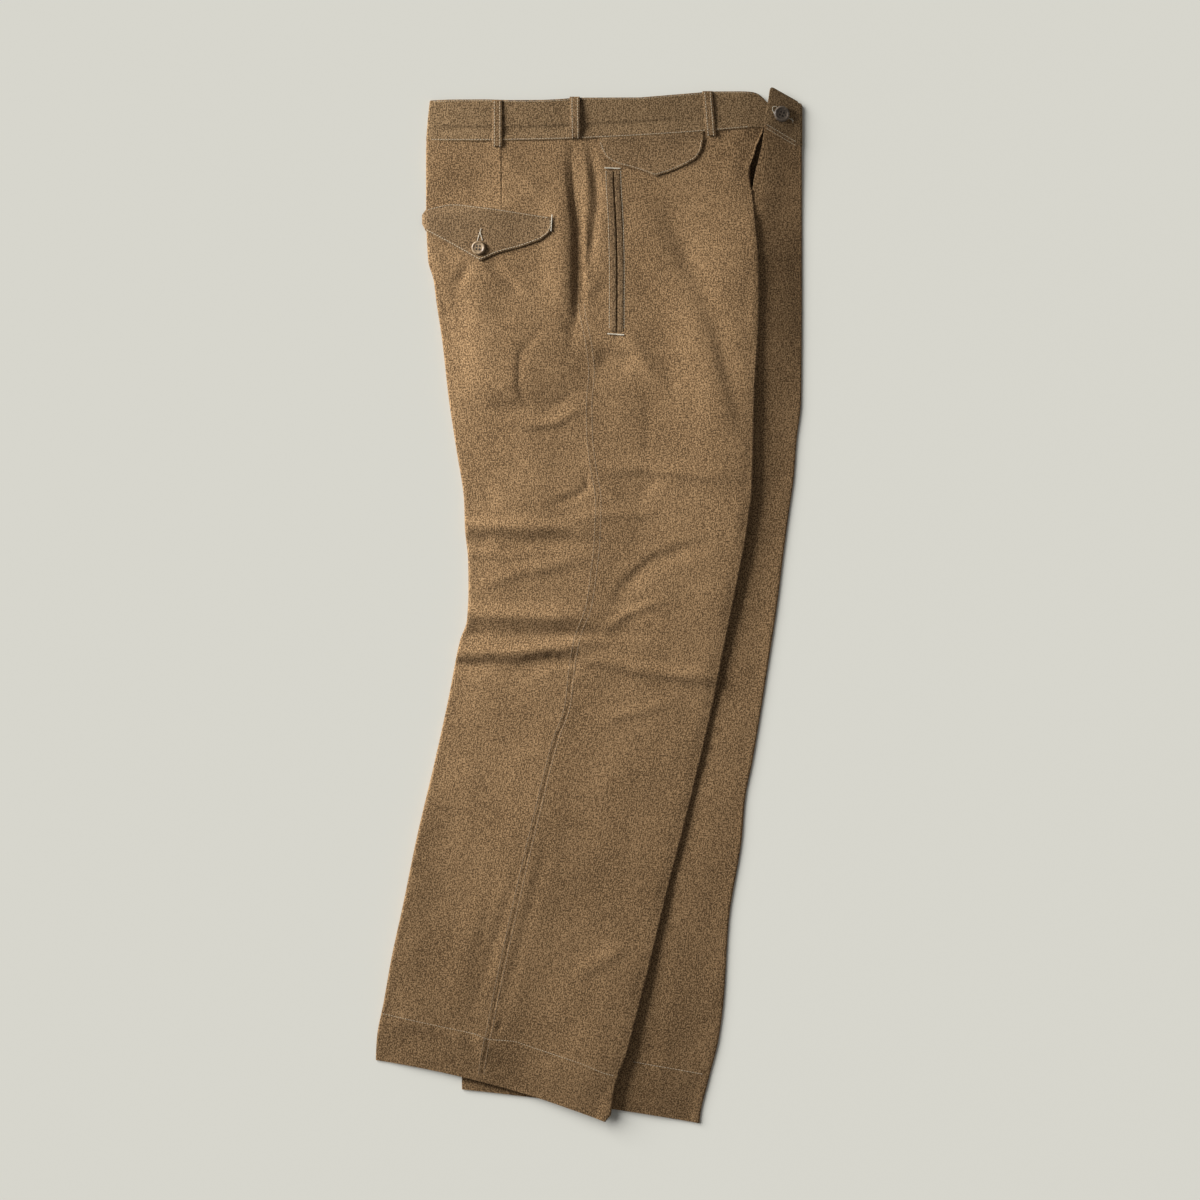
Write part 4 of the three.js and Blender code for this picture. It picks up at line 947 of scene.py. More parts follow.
# The crease along the seam allowance inside the band, which fades toward the fly. Its places and
# widths are shares of the band's width, but for those that end in X
BAND_CREASE_BACK = 0.685
BAND_CREASE_FRONT = 0.645
BAND_CREASE_X = (-40, 40)
BAND_CREASE_DEPTH = 1.1
BAND_CREASE_FADE_X = (60, 125)
BAND_CREASE_WIDTH = 0.075
BAND_CREASE_END = (0.01, 0.95)
BAND_TURNING = 0.3
BAND_TURNING_SHARES = (0.70, 0.94)
BAND_RIPPLE = 0.10
BAND_SWELL = 0.12
RIPPLE_START = (0, 0.2)
RIPPLE_END = (0.85, 1)


def top_of(leg):
    """The first row of a leg, along its waistband's seam."""
    return {part: (leg[part][0][:1], leg[part][1][:1]) for part in ("back", "seam", "front")}


RIGHT_TOP = top_of(right_leg)
LEFT_TOP = top_of(left_leg)


def panel_top_at(x):
    return row_down(RIGHT_TOP, np.minimum(x, PANEL_TOP_X))


def band_foot_at(x):
    return panel_top_at(x) + BAND_LAP + BAND_DIVE * np.maximum(x - BAND_DIVE_X, 0)


def band_relief(x, share):
    """Creases of the waistband: a fold along the seam allowance inside it, and slight waves."""
    fold = mix(BAND_CREASE_BACK, BAND_CREASE_FRONT, ease(x, *BAND_CREASE_X))
    depth = BAND_CREASE_DEPTH * (1 - ease(x, *BAND_CREASE_FADE_X))
    after, end = BAND_CREASE_END
    crease = depth * ease(share, fold - BAND_CREASE_WIDTH, fold) * (1 - ease(share, fold + after, end))
    turning = BAND_TURNING * ease(share, *BAND_TURNING_SHARES) - crease
    ripple = BAND_RIPPLE * np.sin(x / 5.3 + 1.2) * np.sin(x / 17.0)
    ripple = ripple + BAND_SWELL * np.sin(x / 31.0 + share * 2)
    return turning + ripple * ease(share, *RIPPLE_START) * (1 - ease(share, *RIPPLE_END))


def band_uv(grid):
    """Cloth places on a band: its yarns run down it, as on the legs."""
    return np.stack([cumulative(grid) + BAND_CUT[0], grid[..., 1] + BAND_CUT[1]], axis=-1)


def plan_uv(grid, cut):
    """Cloth places of a small piece, straight from the plan."""
    return grid[..., :2] + np.array(cut)


def side_by_side(*strips):
    """A grid from strips of x, distance down and height that lie beside each other."""
    full = [np.broadcast_arrays(*strip) for strip in strips]
    return to_frame(*(np.concatenate(values, axis=1) for values in zip(*full)))


share = np.array(BAND_SHARES)[:, None]
run_x = np.linspace(BAND_END_X, BAND_BACK_X, 180)[None, :]
run_down = mix(band_top_at(run_x), band_foot_at(run_x), share)
run_height = band_height_at(run_x) + band_relief(run_x, share) * ease(run_x, *RELIEF_FADE_X)
roll_angle = math.pi * np.linspace(0, 1, 11)[None, :]
roll_down = mix(band_top_at(BAND_ROLL_X), band_foot_at(BAND_ROLL_X), share)
roll_corner = right_back_at(roll_down) + CREASE_RADIUS
roll_over = band_height_at(roll_corner)
roll_x = roll_corner - CREASE_RADIUS * np.sin(roll_angle)
roll_height = (roll_over + GROUND_BAND) / 2 + (roll_over - GROUND_BAND) / 2 * np.cos(roll_angle)
tail_x = right_back_at(roll_down) + seat_wrap_at(roll_down)
grid = side_by_side((run_x, run_down, run_height), (roll_x, roll_down, roll_height),
                    (tail_x, roll_down, GROUND_BAND))
right_band = wall("waistband_right_cloth", grid, BAND_CLOTH, band_twill, band_uv(grid),
                  soft_edge=2)
dress(right_band, "waistband_right")

# The left band runs along the ground, turns over at the fly and comes back as the tab
TAB_SHARES = [0, 0.01, 0.025, 0.05, 0.09, 0.14, 0.22, 0.3, 0.4, 0.5, 0.6, 0.7, 0.8, 0.88, 0.94,
              0.98, 1]
TAB_TOP_X = 191
TAB_FOOT_X = 184.5
TAB_ROUND = 3.4
TAB_ROUND_SHARE = 0.09
TAB_CORNER = 0.6  # how much of its roundness the corner at the turn has
TAB_FLAT_DOWN = 60  # the tab lies level above the height that the strip has here
TAB_LIFT = 0.4
TOP_BACK = 12
TOP_NOTCH = 17
TOP_FRONT = 14
NOTCH_X = (100, 188)
NOTCH_END_X = 192
BACK_FOOT = 55


def tab_height(x, down):
    return left_inner(x, np.minimum(down, TAB_FLAT_DOWN)) + TAB_LIFT


def tab_lean(x):
    return LEFT_ROWS[0].lean * np.clip((left_front_at(0) - x) / LEAN_LENGTH, 0, 1)


def left_foot_at(x):
    return row_down(LEFT_TOP, x) - SEAM_GAP


share = np.array(TAB_SHARES)[:, None]
rounding = TAB_ROUND * (1 - np.sqrt(1 - np.clip(1 - share / TAB_ROUND_SHARE, 0, 1) ** 2))
corner = left_front_at(0) - CREASE_RADIUS - TAB_CORNER * rounding
left_start = left_back_at(mix(TOP_BACK, BACK_FOOT, share)) + SEAM_GAP
ground_x = mix(left_start, corner, np.linspace(0, 1, 40)[None, :])
ground_top = (mix(TOP_BACK, TOP_NOTCH, ease(ground_x, *NOTCH_X))
              - (TOP_NOTCH - TOP_FRONT) * ease(ground_x, NOTCH_END_X, corner))
ground_down = mix(ground_top, left_foot_at(ground_x), share)
corner_down = mix(TOP_FRONT, left_foot_at(corner), share)
over = tab_height(corner, corner_down)
turn_x = corner + CREASE_RADIUS * np.sin(roll_angle)
turn_height = (over + GROUND_BAND) / 2 - (over - GROUND_BAND) / 2 * np.cos(roll_angle)
tab_end = mix(TAB_TOP_X, TAB_FOOT_X, share) + rounding
tab_x = mix(corner, tab_end, np.linspace(0, 1, 19)[None, 1:])
tab_down = mix(TOP_FRONT, left_foot_at(tab_x), share) + tab_lean(tab_x)
grid = side_by_side((ground_x, ground_down, GROUND_BAND), (turn_x, corner_down, turn_height),
                    (tab_x, tab_down, tab_height(tab_x, tab_down)))
left_band = wall("waistband_left_cloth", grid, BAND_CLOTH, band_twill, band_uv(grid), soft_edge=2)
dress(left_band, "waistband_left")

# The fly shield in the gap of the fly, in twill darkened with painted shade
SHIELD_FOOT = 99
SHIELD_BACK_X = 178.5
SHIELD_FRONT_X = 207
SHIELD_SLANT = 3
SHIELD_GAP = 1.2  # to the right front's crease
SHIELD_TURN = (0, 0.6)
SHIELD_TOP_GAP = 0.5
SHIELD_TOP_HEIGHT = 2.3
SHIELD_FOOT_HEIGHT = 1.9
SHIELD_FALL_DOWN = (60, 84)
share = np.linspace(0, 1, 14)[:, None]
left_side = mix(SHIELD_BACK_X, right_front_at(SHIELD_FOOT) + SHIELD_GAP, ease(share, *SHIELD_TURN))
left_side = left_side + SHIELD_SLANT * (1 - share)
shield_x = mix(left_side, SHIELD_FRONT_X, np.linspace(0, 1, 14)[None, :])
shield_down = mix(band_foot_at(shield_x) + SHIELD_TOP_GAP, SHIELD_FOOT, share)
shield_height = mix(SHIELD_TOP_HEIGHT, SHIELD_FOOT_HEIGHT, ease(shield_down, *SHIELD_FALL_DOWN))
grid = to_frame(shield_x, shield_down, shield_height)
shield = wall("fly_shield_cloth", grid, CLOTH, shield_twill_painted_shade, band_uv(grid))
dress(shield, "fly_shield")

# Flaps: pairs of x and distance down, along the seam and along the free edge
BACK_FLAP_SEAM = [(-178, 132), (-174, 126.5), (-151, 120.4), (-140, 120.4), (-95, 126.4),
                  (-40.5, 135)]
BACK_FLAP_FOOT = [(-178, 141.5), (-174, 149.5), (-148, 163.4), (-117, 181), (-98.5, 172.8),
                  (-74, 166.4), (-53, 159), (-44, 152.5), (-40.5, 146)]
WATCH_FLAP_FOOT = [
    (9.5, 58), (12.5, 64), (16, 70.4), (22.3, 75.3), (31.8, 79.5), (44, 82.4), (57, 86.6),
    (69, 91.3), (87, 85.5), (103.5, 78), (113, 72), (118, 63.9), (120, 52)]
BACK_FLAP_STOPS = [-178, -177.2, -176, -174, -170, -148, -117, -98.5, -74, -53, -44, -41.3, -40.5]
WATCH_FLAP_STOPS = [9.5, 10.3, 12.5, 16, 22.3, 31.8, 44, 57, 69, 87, 103.5, 113, 118, 119.3, 120]
STOP_SPACING = 2.6
FLAP_GAP = 0.1
ON_CLOTH = CLOTH / 2 + FLAP_GAP + FLAP_CLOTH / 2
FLAP_TURN = 4
FLAP_END_X = BACK_FLAP_SEAM[0][0]
FLAP_LOW = 2.4
FLAP_PRESSED = 0.05
FLAP_FREE = 0.7
FREE_SHARES = (0.2, 1)
FLAP_RIPPLE = 0.16
RIPPLE_LENGTH = 9.0
FLAP_RIPPLE_SHARES = (0.3, 1)
FLAP_SEAM_LIFT = 0.5
FLAP_SEAM_SHARES = (0.02, 0.14)
FLAP_SHARES = np.concatenate([[0, 0.03], np.linspace(0.08, 0.92, 14), [0.97, 1]])[:, None]


def flap_height(x, down, share):
    """Over the cloth below, pressed down at the seam and standing off at the free edge."""
    lift = mix(FLAP_PRESSED, FLAP_FREE, ease(share, *FREE_SHARES))
    lift = lift + FLAP_RIPPLE * np.sin(x / RIPPLE_LENGTH + 1) * ease(share, *FLAP_RIPPLE_SHARES)
    lift = lift + FLAP_SEAM_LIFT * (1 - ease(share, *FLAP_SEAM_SHARES))
    return right_outer(x, down) + ON_CLOTH + lift


def back_flap_height(x, down, share):
    """The same for the back flap, whose end turns down over the back crease."""
    turn = right_back_at(down) + FLAP_TURN
    flat = flap_height(np.maximum(x, turn), down, share)
    reach = np.clip((turn - x) / (turn - FLAP_END_X + 0.3), 0, 1)
    return np.where(x >= turn, flat, FLAP_LOW + (flat - FLAP_LOW) * np.sqrt(1 - reach ** 2))


def flap(node, stops, top_at, foot, height_at, cloth):
    """A flap with columns at its stops and between them."""
    columns = []
    for a, b in zip(stops, stops[1:]):
        count = max(1, round((b - a) / STOP_SPACING))
        columns += [mix(a, b, i / count) for i in range(count)]
    columns.append(stops[-1])
    x = np.broadcast_to(columns, (len(FLAP_SHARES), len(columns)))
    down = mix(top_at(x), straight(foot)(x), FLAP_SHARES)
    grid = to_frame(x, down, height_at(x, down, FLAP_SHARES))
    piece = wall(node + "_cloth", grid, FLAP_CLOTH, cloth, plan_uv(grid, FLAP_CUT), soft_edge=2)
    return dress(piece, node)


def watch_flap_top_at(x):
    return panel_top_at(x) + 0.4


back_flap = flap("back_pocket_flap", BACK_FLAP_STOPS, straight(BACK_FLAP_SEAM), BACK_FLAP_FOOT,
                 back_flap_height, flap_twill)
watch_flap = flap("watch_pocket_flap", WATCH_FLAP_STOPS, watch_flap_top_at, WATCH_FLAP_FOOT,
                  flap_height, watch_twill)

# Welts of the side pocket
WELT_WIDTH = 6.6
WELT_DOWN = (85, 256)
WELT_STEPS = [0.8, 1.2, 2.0, 3.5, 5.0, 6.0, WELT_WIDTH]
WELT_CROWN = 0.15
WELT_GAP = 0.05
welt_route = track([(84, 24.8), (146, 27.6), (197, 28.6), (256, 28.4)])


def pocket_welt(node, side):
    down = np.linspace(*WELT_DOWN, 58)[:, None]
    away = np.array(WELT_STEPS)[None, :]
    crown = WELT_CROWN * np.sin(math.pi * away / WELT_WIDTH) ** 0.7
    beside = right_outer(welt_route(down) + side * WELT_WIDTH, down)
    height = beside + CLOTH / 2 + WELT_CLOTH / 2 + WELT_GAP + crown
    grid = side_by_side((welt_route(down) + side * away, down, height))
    piece = wall(node + "_cloth", grid, WELT_CLOTH, flap_twill, plan_uv(grid, WELT_CUT),
                 soft_edge=1)
    return dress(piece, node)


welts = [pocket_welt("side_pocket_welt_back", -1), pocket_welt("side_pocket_welt_front", 1)]

# Belt loops
LOOP_WIDTH = 10.6
LOOP_ASIDE = [-5.3, -4.9, -4.0, -2.4, 0, 2.4, 4.0, 4.9, 5.3]
LOOP_CROWN = 0.25
LOOP_GAP = 0.1
LOOP_PRESSED = 0.6  # how far a loop's foot is pressed into the panel's cloth
LOOP_FOOT_DOWN = 54
Loop = namedtuple("Loop", "node top_x top foot_x foot bow")
LOOPS = [
    Loop("belt_loop_back", -98.4, 10.6, -98.4, 59.4, 0.5),
    Loop("belt_loop_side", -16.2, 7.2, -15.6, 50.8, 2.6),
    Loop("belt_loop_front", 124.4, 1.2, 128.2, 48, 0.4)]


def loop_place(loop, share, aside):
    """x, distance down and height of the middle of a loop's cloth."""
    middle = mix(loop.top_x, loop.foot_x, share)
    down = mix(loop.top, loop.foot, share)
    on_panel = right_outer(middle, np.maximum(down, LOOP_FOOT_DOWN)) - LOOP_PRESSED
    below = np.maximum(band_height_at(middle) + BAND_CLOTH / 2, on_panel)
    arch = loop.bow * np.clip(np.sin(math.pi * share), 0, 1) ** 0.6
    crown = LOOP_CROWN * (1 - (2 * aside / LOOP_WIDTH) ** 2)
    return middle + aside, down, below + LOOP_GAP + LOOP_CLOTH / 2 + arch + crown


def belt_loop(loop):
    grid = side_by_side(loop_place(loop, np.linspace(0, 1, 33)[:, None], np.array([LOOP_ASIDE])))
    piece = wall(loop.node + "_cloth", grid, LOOP_CLOTH, loop_twill, plan_uv(grid, LOOP_CUT),
                 soft_edge=1)
    return dress(piece, loop.node)


loop_pieces = [belt_loop(loop) for loop in LOOPS]


# Stitches
class Stitches:
    """Many stitches of one thread, joined into one mesh."""

    SIDES = 6
    RINGS = [(0, 0.25, -0.35), (0.18, 0.9, 0), (0.5, 1, 0.25), (0.82, 0.9, 0), (1, 0.25, -0.35)]
    FLATNESS = 0.8
    RISE = 0.5  # how much a stitch arches, as a share of its width
    START = 0.2  # of a row's first stitch along it
    PROUD = 0.3  # a stitch's middle over the cloth, as a share of its width
    SUNK = 0.05
    BAR_HEIGHT = 0.25
    BAR_THREAD = 0.5
    BAR_RISE = 0.8

    def __init__(self, name, material, slot):
        self.name, self.material, self.slot = name, material, slot
        self.vertices, self.faces = [], []

    def add(self, a, b, width, rise=RISE):
        """One stitch from a to b, points of the plan with heights."""
        a, b = np.array(a, float), np.array(b, float)
        forward = (b - a) / np.linalg.norm(b - a)
        aside = np.cross((0, 0, 1), forward)
        aside /= np.linalg.norm(aside)
        up = np.cross(forward, aside)
        start = len(self.vertices)
        for place, size, lift in self.RINGS:
            centre = a + (b - a) * place + up * (width * rise * lift)
            for i in range(self.SIDES):
                angle = 2 * math.pi * i / self.SIDES
                wide = aside * (width / 2 * size * math.cos(angle))
                high = up * (width * self.FLATNESS / 2 * size * math.sin(angle))
                self.vertices.append(centre + wide + high)
        for ring in range(len(self.RINGS) - 1):
            low = start + ring * self.SIDES
            high = low + self.SIDES
            for i in range(self.SIDES):
                j = (i + 1) % self.SIDES
                self.faces.append((low + i, low + j, high + j, high + i))
        self.faces.append(tuple(start + i for i in reversed(range(self.SIDES))))
        last = start + (len(self.RINGS) - 1) * self.SIDES
        self.faces.append(tuple(last + i for i in range(self.SIDES)))

    def row(self, points, skin, pitch=3.0, length=2.5, width=0.6):
        """A row of stitches along points of the plan, lying on a skin."""
        points = np.array(points, float)
        walked = walk(points)
        for i in range(int(walked[-1] // pitch)):
            ends = [i * pitch + self.START, i * pitch + self.START + length]
            x = np.interp(ends, walked, points[:, 0])
            down = np.interp(ends, walked, points[:, 1])
            height = skin(x, down) + width * self.PROUD - self.SUNK
            self.add((x[0], -down[0], height[0]), (x[1], -down[1], height[1]), width)

    def bar(self, a, b, skin, width=1.5, pitch=0.42):
        """A bar tack: close stitches across a line from a to b."""
        a, b = np.array(a, float), np.array(b, float)
        length = np.linalg.norm(b - a)
        along = (b - a) / length
        across = np.array([-along[1], along[0]]) * width / 2
        for i in range(int(length / pitch) + 1):
            centre = a + along * min(i * pitch, length)
            height = float(skin(*centre)) + self.BAR_HEIGHT
            (x0, d0), (x1, d1) = centre - across, centre + across
            self.add((x0, -d0, height), (x1, -d1, height), self.BAR_THREAD, self.BAR_RISE)

    def finish(self):
        vertices = np.array(self.vertices) + np.array([PLAN_X, PLAN_Y, 0])
        piece = make_object(self.name, vertices * MM, self.faces, self.material)


def walk(points):
    """Distance walked along a line of points."""
    spans = np.linalg.norm(np.diff(points, axis=0), axis=1)
    return np.concatenate([[0], np.cumsum(spans)])


def dense(points, spacing=4.0):
    """The same line with more points."""
    points = np.array(points, float)
    walked = walk(points)
    places = np.linspace(0, walked[-1], max(2, int(walked[-1] / spacing) + 1))
    return np.stack([np.interp(places, walked, points[:, i]) for i in range(2)], axis=1)


def line(x, down):
    return np.stack([x, down], axis=1)


def inset(points, distance):
    """A line moved to its left by a distance, going along it in the plan."""
    points = dense(points, 1.5)
    tangent = np.gradient(points, axis=0)
    tangent /= np.linalg.norm(tangent, axis=1, keepdims=True)
    return points + line(tangent[:, 1], -tangent[:, 0]) * distance


# The upper faces that stitches lie on. A share is a place between a flap's seam and its free edge,
# and the heights of the bar tacks are from the middle of the cloth
FREE_ROW_SHARE = 0.9
HOLE_SHARE = 0.85
BAR_ON_WELT = 1.5
BAR_ON_FLAP = 2.1


def top_skin(x, down):
    return right_outer(x, down) + CLOTH / 2


def strip_skin(x, down):
    return left_inner(x, down) + CLOTH / 2


def flat_foot_at(x):
    return band_foot_at(x).ravel()


def band_skin(x, down):
    top = band_top_at(x)
    share = (down - top) / (flat_foot_at(x) - top)
    return band_height_at(x) + BAND_CLOTH / 2 + band_relief(x, np.clip(share, 0, 1))


def tab_skin(x, down):
    return tab_height(x, down) + BAND_CLOTH / 2


def flap_skin(x, down):
    return flap_height(x, down, FREE_ROW_SHARE) + FLAP_CLOTH / 2


def flap_seam_skin(x, down):
    return flap_height(x, down, 0) + FLAP_CLOTH / 2


def hole_skin(x, down):
    return back_flap_height(x, down, HOLE_SHARE) + FLAP_CLOTH / 2


def welt_skin(x, down):
    return right_outer(x, down) + BAR_ON_WELT


def flap_end_skin(x, down):
    return right_outer(x, down) + BAR_ON_FLAP


def tab_seam_at(x):
    return left_foot_at(x).ravel() + tab_lean(x)


STITCH_STEP = 4.0  # between the points of a row's line
FINE = 0.5
FINEST = 0.45
BAND_ROW_INSET = 1.6
TAB_ROWS = (-1.8, 2.2)  # above and below the tab's seam
POCKET_ROWS = (-WELT_WIDTH - 1.3, WELT_WIDTH + 1.2)

seam_stitches = Stitches("outseam_stitches", brown_thread, "twill")
downs = np.arange(226, 1050, STITCH_STEP)
for offset in (FELL_BACK, FELL_BACK + FELL_WIDTH):
    seam_stitches.row(line(right_outseam_at(downs) + offset, downs), top_skin, width=FINE)
seam_stitches.finish()

hem_stitches = Stitches("hem_stitches", tan_thread, "twill")
hem_stitches.row(dense(HEM_LINE), top_skin)
hem_stitches.row(dense(LEFT_HEM_LINE), strip_skin)
hem_stitches.finish()

band_stitches = Stitches("waistband_stitches", tan_thread, "waistband_twill")
foot_x = np.arange(-168, 172, STITCH_STEP)
band_stitches.row(line(foot_x, flat_foot_at(foot_x) - BAND_ROW_INSET), band_skin)
top_x = np.arange(-166, 178, STITCH_STEP)
band_stitches.row(line(top_x, band_top_at(top_x) + BAND_ROW_INSET), band_skin, width=FINEST)
seam_x = np.arange(187, 223, 3.0)
for offset, skin in zip(TAB_ROWS, (tab_skin, strip_skin)):
    band_stitches.row(line(seam_x, tab_seam_at(seam_x) + offset), skin)
band_stitches.finish()

FLAP_INSET = 1.6
BACK_FLAP_TOP_ROW = [(-172, 126.6), (-151, 121.6), (-140, 121.6), (-95, 127.6), (-42, 136)]
flap_stitches = Stitches("flap_stitches", tan_thread, "flap_twill")
flap_stitches.row(inset(BACK_FLAP_FOOT[1:] + [(-40.5, 136)], FLAP_INSET), flap_skin, width=0.65)
flap_stitches.row(inset([(9.5, 56)] + WATCH_FLAP_FOOT[1:], FLAP_INSET), flap_skin, width=FINE)
flap_stitches.row(dense(BACK_FLAP_TOP_ROW), flap_seam_skin, width=FINE)
flap_stitches.finish()

pocket_stitches = Stitches("side_pocket_stitches", tan_thread, "flap_twill")
downs = np.arange(WELT_DOWN[0], WELT_DOWN[1] + 1, STITCH_STEP)
for offset in POCKET_ROWS:
    pocket_stitches.row(line(welt_route(downs) + offset, downs), top_skin)
pocket_stitches.finish()

bar_tacks = Stitches("bar_tacks", pale_thread, "flap_twill")
bar_tacks.bar((15.6, 82.4), (32.3, 83), welt_skin)
bar_tacks.bar((18.8, 258.4), (36, 259.6), welt_skin)
bar_tacks.bar((-40.2, 132.6), (-41.2, 150), flap_end_skin, 1.3)
bar_tacks.finish()

LOOP_STITCH_ASIDE = 2.9
LOOP_STITCH_SHARE = 0.045  # length of a stitch, of the loop's
loop_stitches = Stitches("belt_loop_stitches", tan_thread, "loop_twill")
for loop in LOOPS:
    for aside in (-LOOP_STITCH_ASIDE, LOOP_STITCH_ASIDE):
        for start in np.linspace(0.03, 0.97, 16):
            ends = []
            for share in (start, start + LOOP_STITCH_SHARE):
                x, down, height = loop_place(loop, share, aside)
                ends.append((float(x), -float(down), float(height) + LOOP_CLOTH / 2 + 0.1))
            loop_stitches.add(*ends, 0.75)
loop_stitches.finish()

# Buttons
HOLE_RADIUS = 1.0
HOLE_OFFSET = 1.65
HOLE_SIDES = [(1, 1), (-1, 1), (-1, -1), (1, -1)]
HOLE_FLOOR = 0.4
HOLE_EDGE = (HOLE_RADIUS - 0.25, HOLE_RADIUS + 0.15)
HOLES_REACH = 3.2  # the finer rings of the grid end here
BUTTON_BODY = 1.3
BUTTON_DOME = 0.9
DOME_EDGE = 1.2
RIM_HEIGHT = 0.75
RIM_INSET = 1.6
RIM_WIDTH = 1.1
BUTTON_SIDE = [(0, 0.9), (-0.4, 0.3), (-1.2, 0)]  # its edge below the face: radius past it, level
THREAD_LEVEL = 1.3
BUTTON_SEAT = 0.3
SLOPE_STEP = 4.0


def button_profile(r, radius):
    """Height of a button's face: a round rim, a well and a flat middle."""
    rim = bell(r - radius + RIM_INSET, RIM_WIDTH) * RIM_HEIGHT
    past = np.clip((r - radius + DOME_EDGE) / DOME_EDGE, 0, 1)
    return BUTTON_BODY + BUTTON_DOME * np.sqrt(1 - past ** 2) + rim


def button_grid(radius):
    """A button's points in rings from the middle of its face round to the middle of its back."""
    inner = np.linspace(0, HOLES_REACH, 15)[1:]
    rings = np.concatenate([inner, np.linspace(HOLES_REACH, radius, 16)[1:]])
    angles = np.linspace(0, 2 * math.pi, 72, endpoint=False)
    r, a = np.meshgrid(rings, angles, indexing="ij")
    x, y = r * np.cos(a), r * np.sin(a)
    hole = np.zeros_like(x)
    for sx, sy in HOLE_SIDES:
        away = np.hypot(x - sx * HOLE_OFFSET, y - sy * HOLE_OFFSET)
        hole = np.maximum(hole, 1 - ease(away, *HOLE_EDGE))
    face = np.stack([x, y, mix(button_profile(r, radius), HOLE_FLOOR, hole)], axis=-1)
    side = [np.stack([(radius + past) * np.cos(angles), (radius + past) * np.sin(angles),
                      np.full_like(angles, level)], axis=1) for past, level in BUTTON_SIDE]
    return [np.array([[0, 0, button_profile(0, radius)]]), *face, *side, np.array([[0, 0, 0]])]


def button_faces(rings):
    """Faces between a button's rings, closed by a fan at each end."""
    count = len(rings[1])
    last = 1 + (len(rings) - 2) * count
    faces = [(0, 1 + i, 1 + (i + 1) % count) for i in range(count)]
    for low in range(1, last - count, count):
        for i in range(count):
            j = (i + 1) % count
            faces.append((low + i, low + count + i, low + count + j, low + j))
    low = last - count
    return faces + [(last, low + (i + 1) % count, low + i) for i in range(count)]


def button(node, diameter, x, down, skin, turn, material, slot):
    """A four-hole button that lies on a skin, with near-black thread in its holes as painted shade."""
    def seat(x, down):
        return float(skin(x, down)) + BUTTON_SEAT

    slope_x = (seat(x + SLOPE_STEP, down) - seat(x - SLOPE_STEP, down)) / (2 * SLOPE_STEP)
    slope_down = (seat(x, down + SLOPE_STEP) - seat(x, down - SLOPE_STEP)) / (2 * SLOPE_STEP)
    normal = np.array([-slope_x, slope_down, 1.0])
    normal /= np.linalg.norm(normal)
    side = np.cross((math.sin(turn), math.cos(turn), 0), normal)
    side /= np.linalg.norm(side)
    up = np.cross(normal, side)
    middle = np.array([x, -down, seat(x, down)])
    rings = button_grid(diameter / 2)
    points = np.concatenate(rings) @ np.stack([side, up, normal])
    placed = middle + np.array([PLAN_X, PLAN_Y, 0]) + points
    piece = make_object(node + "_horn", placed * MM, button_faces(rings), material, None, 40)
    dress(piece, node)
    # The thread's near-black colour paints the shade in the holes
    stitches = Stitches(node + "_thread", hole_shade_thread, slot)
    for sx, sy in HOLE_SIDES:
        hole = middle + side * (sx * HOLE_OFFSET) + up * (sy * HOLE_OFFSET) + normal * THREAD_LEVEL
        stitches.add(hole - side * HOLE_RADIUS, hole + side * HOLE_RADIUS, 2 * HOLE_RADIUS)
    stitches.finish()


button("back_pocket_button", diameter=15, x=-118.2, down=167.5, skin=hole_skin, turn=0.1,
       material=pale_horn, slot="pale_horn")
button("waist_button", diameter=17, x=202.8, down=26, skin=tab_skin, turn=0.4,
       material=dark_horn, slot="dark_horn")

# Buttonholes: lines of close stitches
FLAP_HOLE_LINES = [[(-115.3, 146.6), (-117.4, 153), (-119.8, 161)], [(-116.4, 150.6), (-113.9, 160)]]
TAB_HOLE_LINES = [
    [(193.4, 18.4), (197.6, 18.2), (199.4, 22), (198.4, 26), (195.2, 26.2), (193.2, 22),
     (193.4, 18.4)],
    [(199, 23.5), (216.2, 33)], [(213.8, 29.6), (215.2, 35.4)]]
HOLE_PITCH = 1.0
HOLE_STITCH = 1.2
buttonholes = Stitches("buttonhole_thread", pale_thread, "flap_twill")
for points in FLAP_HOLE_LINES:
    buttonholes.row(dense(points, 1.0), hole_skin, HOLE_PITCH, HOLE_STITCH, 0.75)
for points in TAB_HOLE_LINES:
    buttonholes.row(dense(points, 1.0), tab_skin, HOLE_PITCH, HOLE_STITCH, 0.7)
buttonholes.finish()

# The belt loops' cloth as it was cut, laid out flat: width 0.0106 by each loop's length, in metres;
# the area is worked out and not kept
for piece, length in zip(loop_pieces, (0.049, 0.044, 0.047)):
    0.0106 * length

# Floor, light and camera
floor_finish = Finish("floor_paper")
floor_spot = floor_finish.node("ShaderNodeTexCoord", None, None, 3)
floor_grain = floor_finish.node("ShaderNodeTexNoise", None, {"Vector": floor_spot, "Scale": 3.0})
floor_colour = floor_finish.node("ShaderNodeValToRGB", {"stops": [
    (0.0, (0.668, 0.661, 0.600)), (1.0, (0.672, 0.665, 0.604))]}, {0: floor_grain})
floor_material = floor_finish.end(Base_Color=floor_colour, Roughness=0.95)
FLOOR_SIZE = 12
bpy.ops.mesh.primitive_plane_add(size=FLOOR_SIZE, location=(0, 0, 0))
floor = bpy.context.object
floor.name = "floor"
floor.data.materials.append(floor_material)

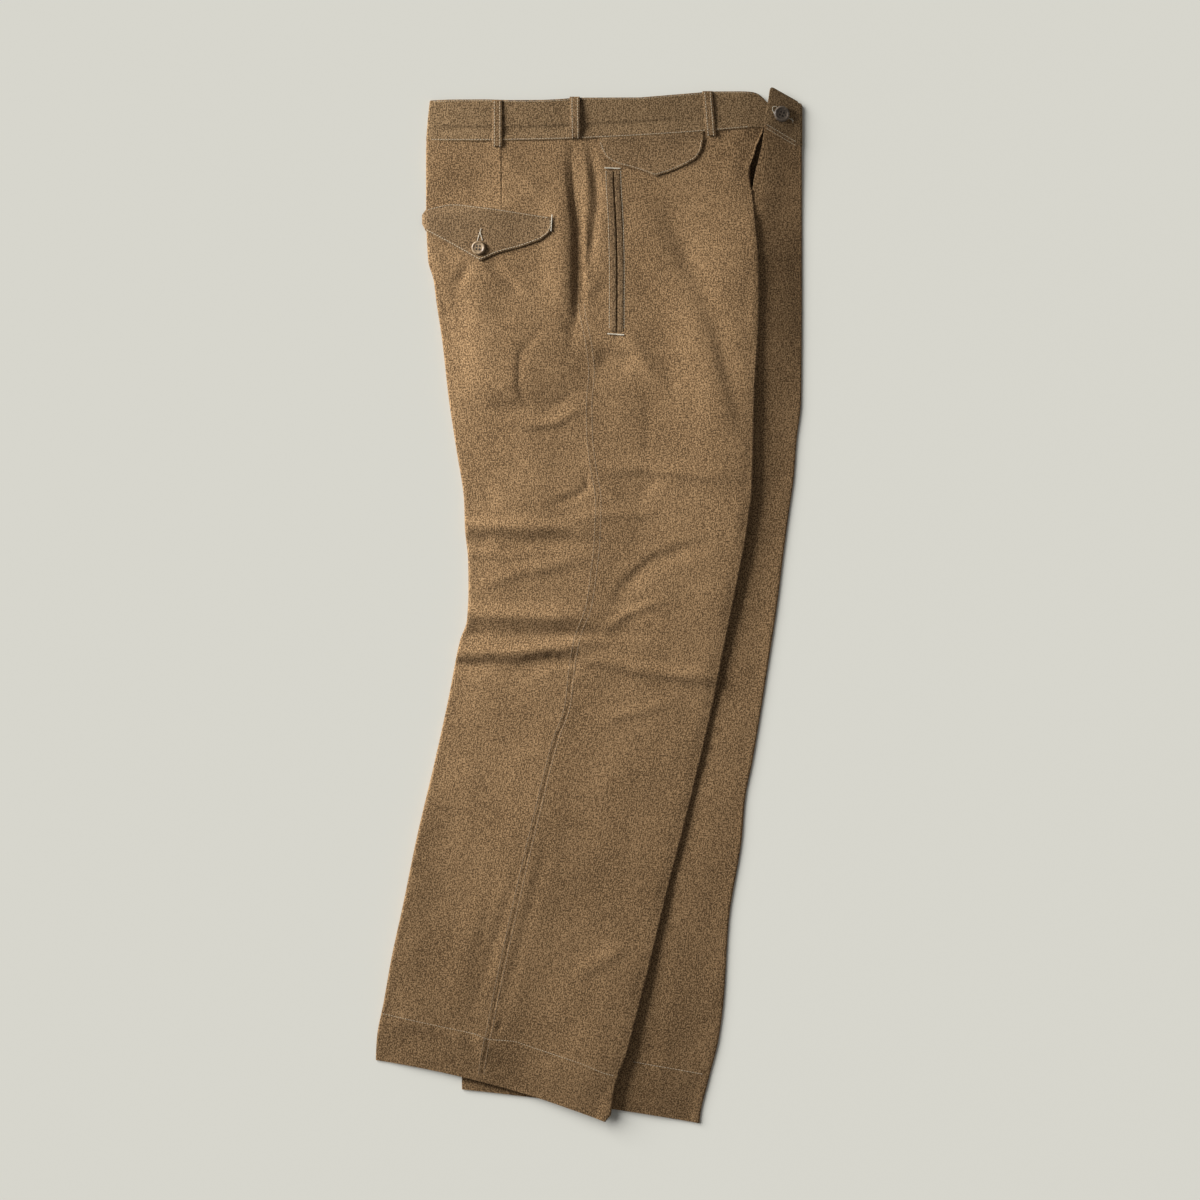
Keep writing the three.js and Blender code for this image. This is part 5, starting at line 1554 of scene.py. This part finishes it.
world = bpy.data.worlds.new("studio")
bpy.context.scene.world = world
world.use_nodes = True
sky = world.node_tree.nodes["Background"].inputs
sky["Color"].default_value = (1.0, 0.99, 0.98, 1)
sky["Strength"].default_value = 0.2


def lamp(name, kind, place, aim, energy, lights_up):
    """A light at a place in metres, turned toward a point, that lights one collection."""
    data = bpy.data.lights.new(name, kind)
    data.energy = energy
    thing = bpy.data.objects.new(name, data)
    bpy.context.scene.collection.objects.link(thing)
    thing.location = place
    thing.rotation_euler = (Vector(aim) - Vector(place)).to_track_quat("-Z", "Y").to_euler()
    thing.light_linking.receiver_collection = lights_up
    return data


# A soft box low at the upper left, for the garment alone
KEY_PLACE = (-1.60, 0.93, 0.70)
KEY_AIM = (-0.05, 0, 0)
KEY_ENERGY = 14
KEY_SIZE = 0.8
KEY_SPREAD = 60
key = lamp("key_soft_box", "AREA", KEY_PLACE, KEY_AIM, KEY_ENERGY, garment)
key.shape = "RECTANGLE"
key.size = KEY_SIZE
key.size_y = KEY_SIZE
key.spread = math.radians(KEY_SPREAD)

# A sun from the same side, for the floor alone
ground = bpy.data.collections.new("ground")
bpy.context.scene.collection.children.link(ground)
bpy.context.scene.collection.objects.unlink(floor)
ground.objects.link(floor)
FLOOR_LIGHT_PLACE = (-1.20, 0.70, 0.95)
FLOOR_LIGHT_ENERGY = 4.38
FLOOR_LIGHT_ANGLE = 50
floor_light = lamp("floor_light", "SUN", FLOOR_LIGHT_PLACE, KEY_AIM, FLOOR_LIGHT_ENERGY, ground)
floor_light.angle = math.radians(FLOOR_LIGHT_ANGLE)

# The camera looks straight down. The picture's width is true at a height within the cloth
VIEW_X = 11.6
VIEW_Y = 5.57
TRUE_HEIGHT = 8
FRAME_WIDTH = 1272
LENS = 100
SENSOR = 36
camera_data = bpy.data.cameras.new("camera")
camera_data.lens = LENS
camera_data.sensor_width = SENSOR
camera = bpy.data.objects.new("camera", camera_data)
bpy.context.scene.collection.objects.link(camera)
camera.location = (VIEW_X * MM, VIEW_Y * MM, (FRAME_WIDTH * LENS / SENSOR + TRUE_HEIGHT) * MM)
bpy.context.scene.camera = camera
bpy.context.scene.view_settings.view_transform = "Standard"
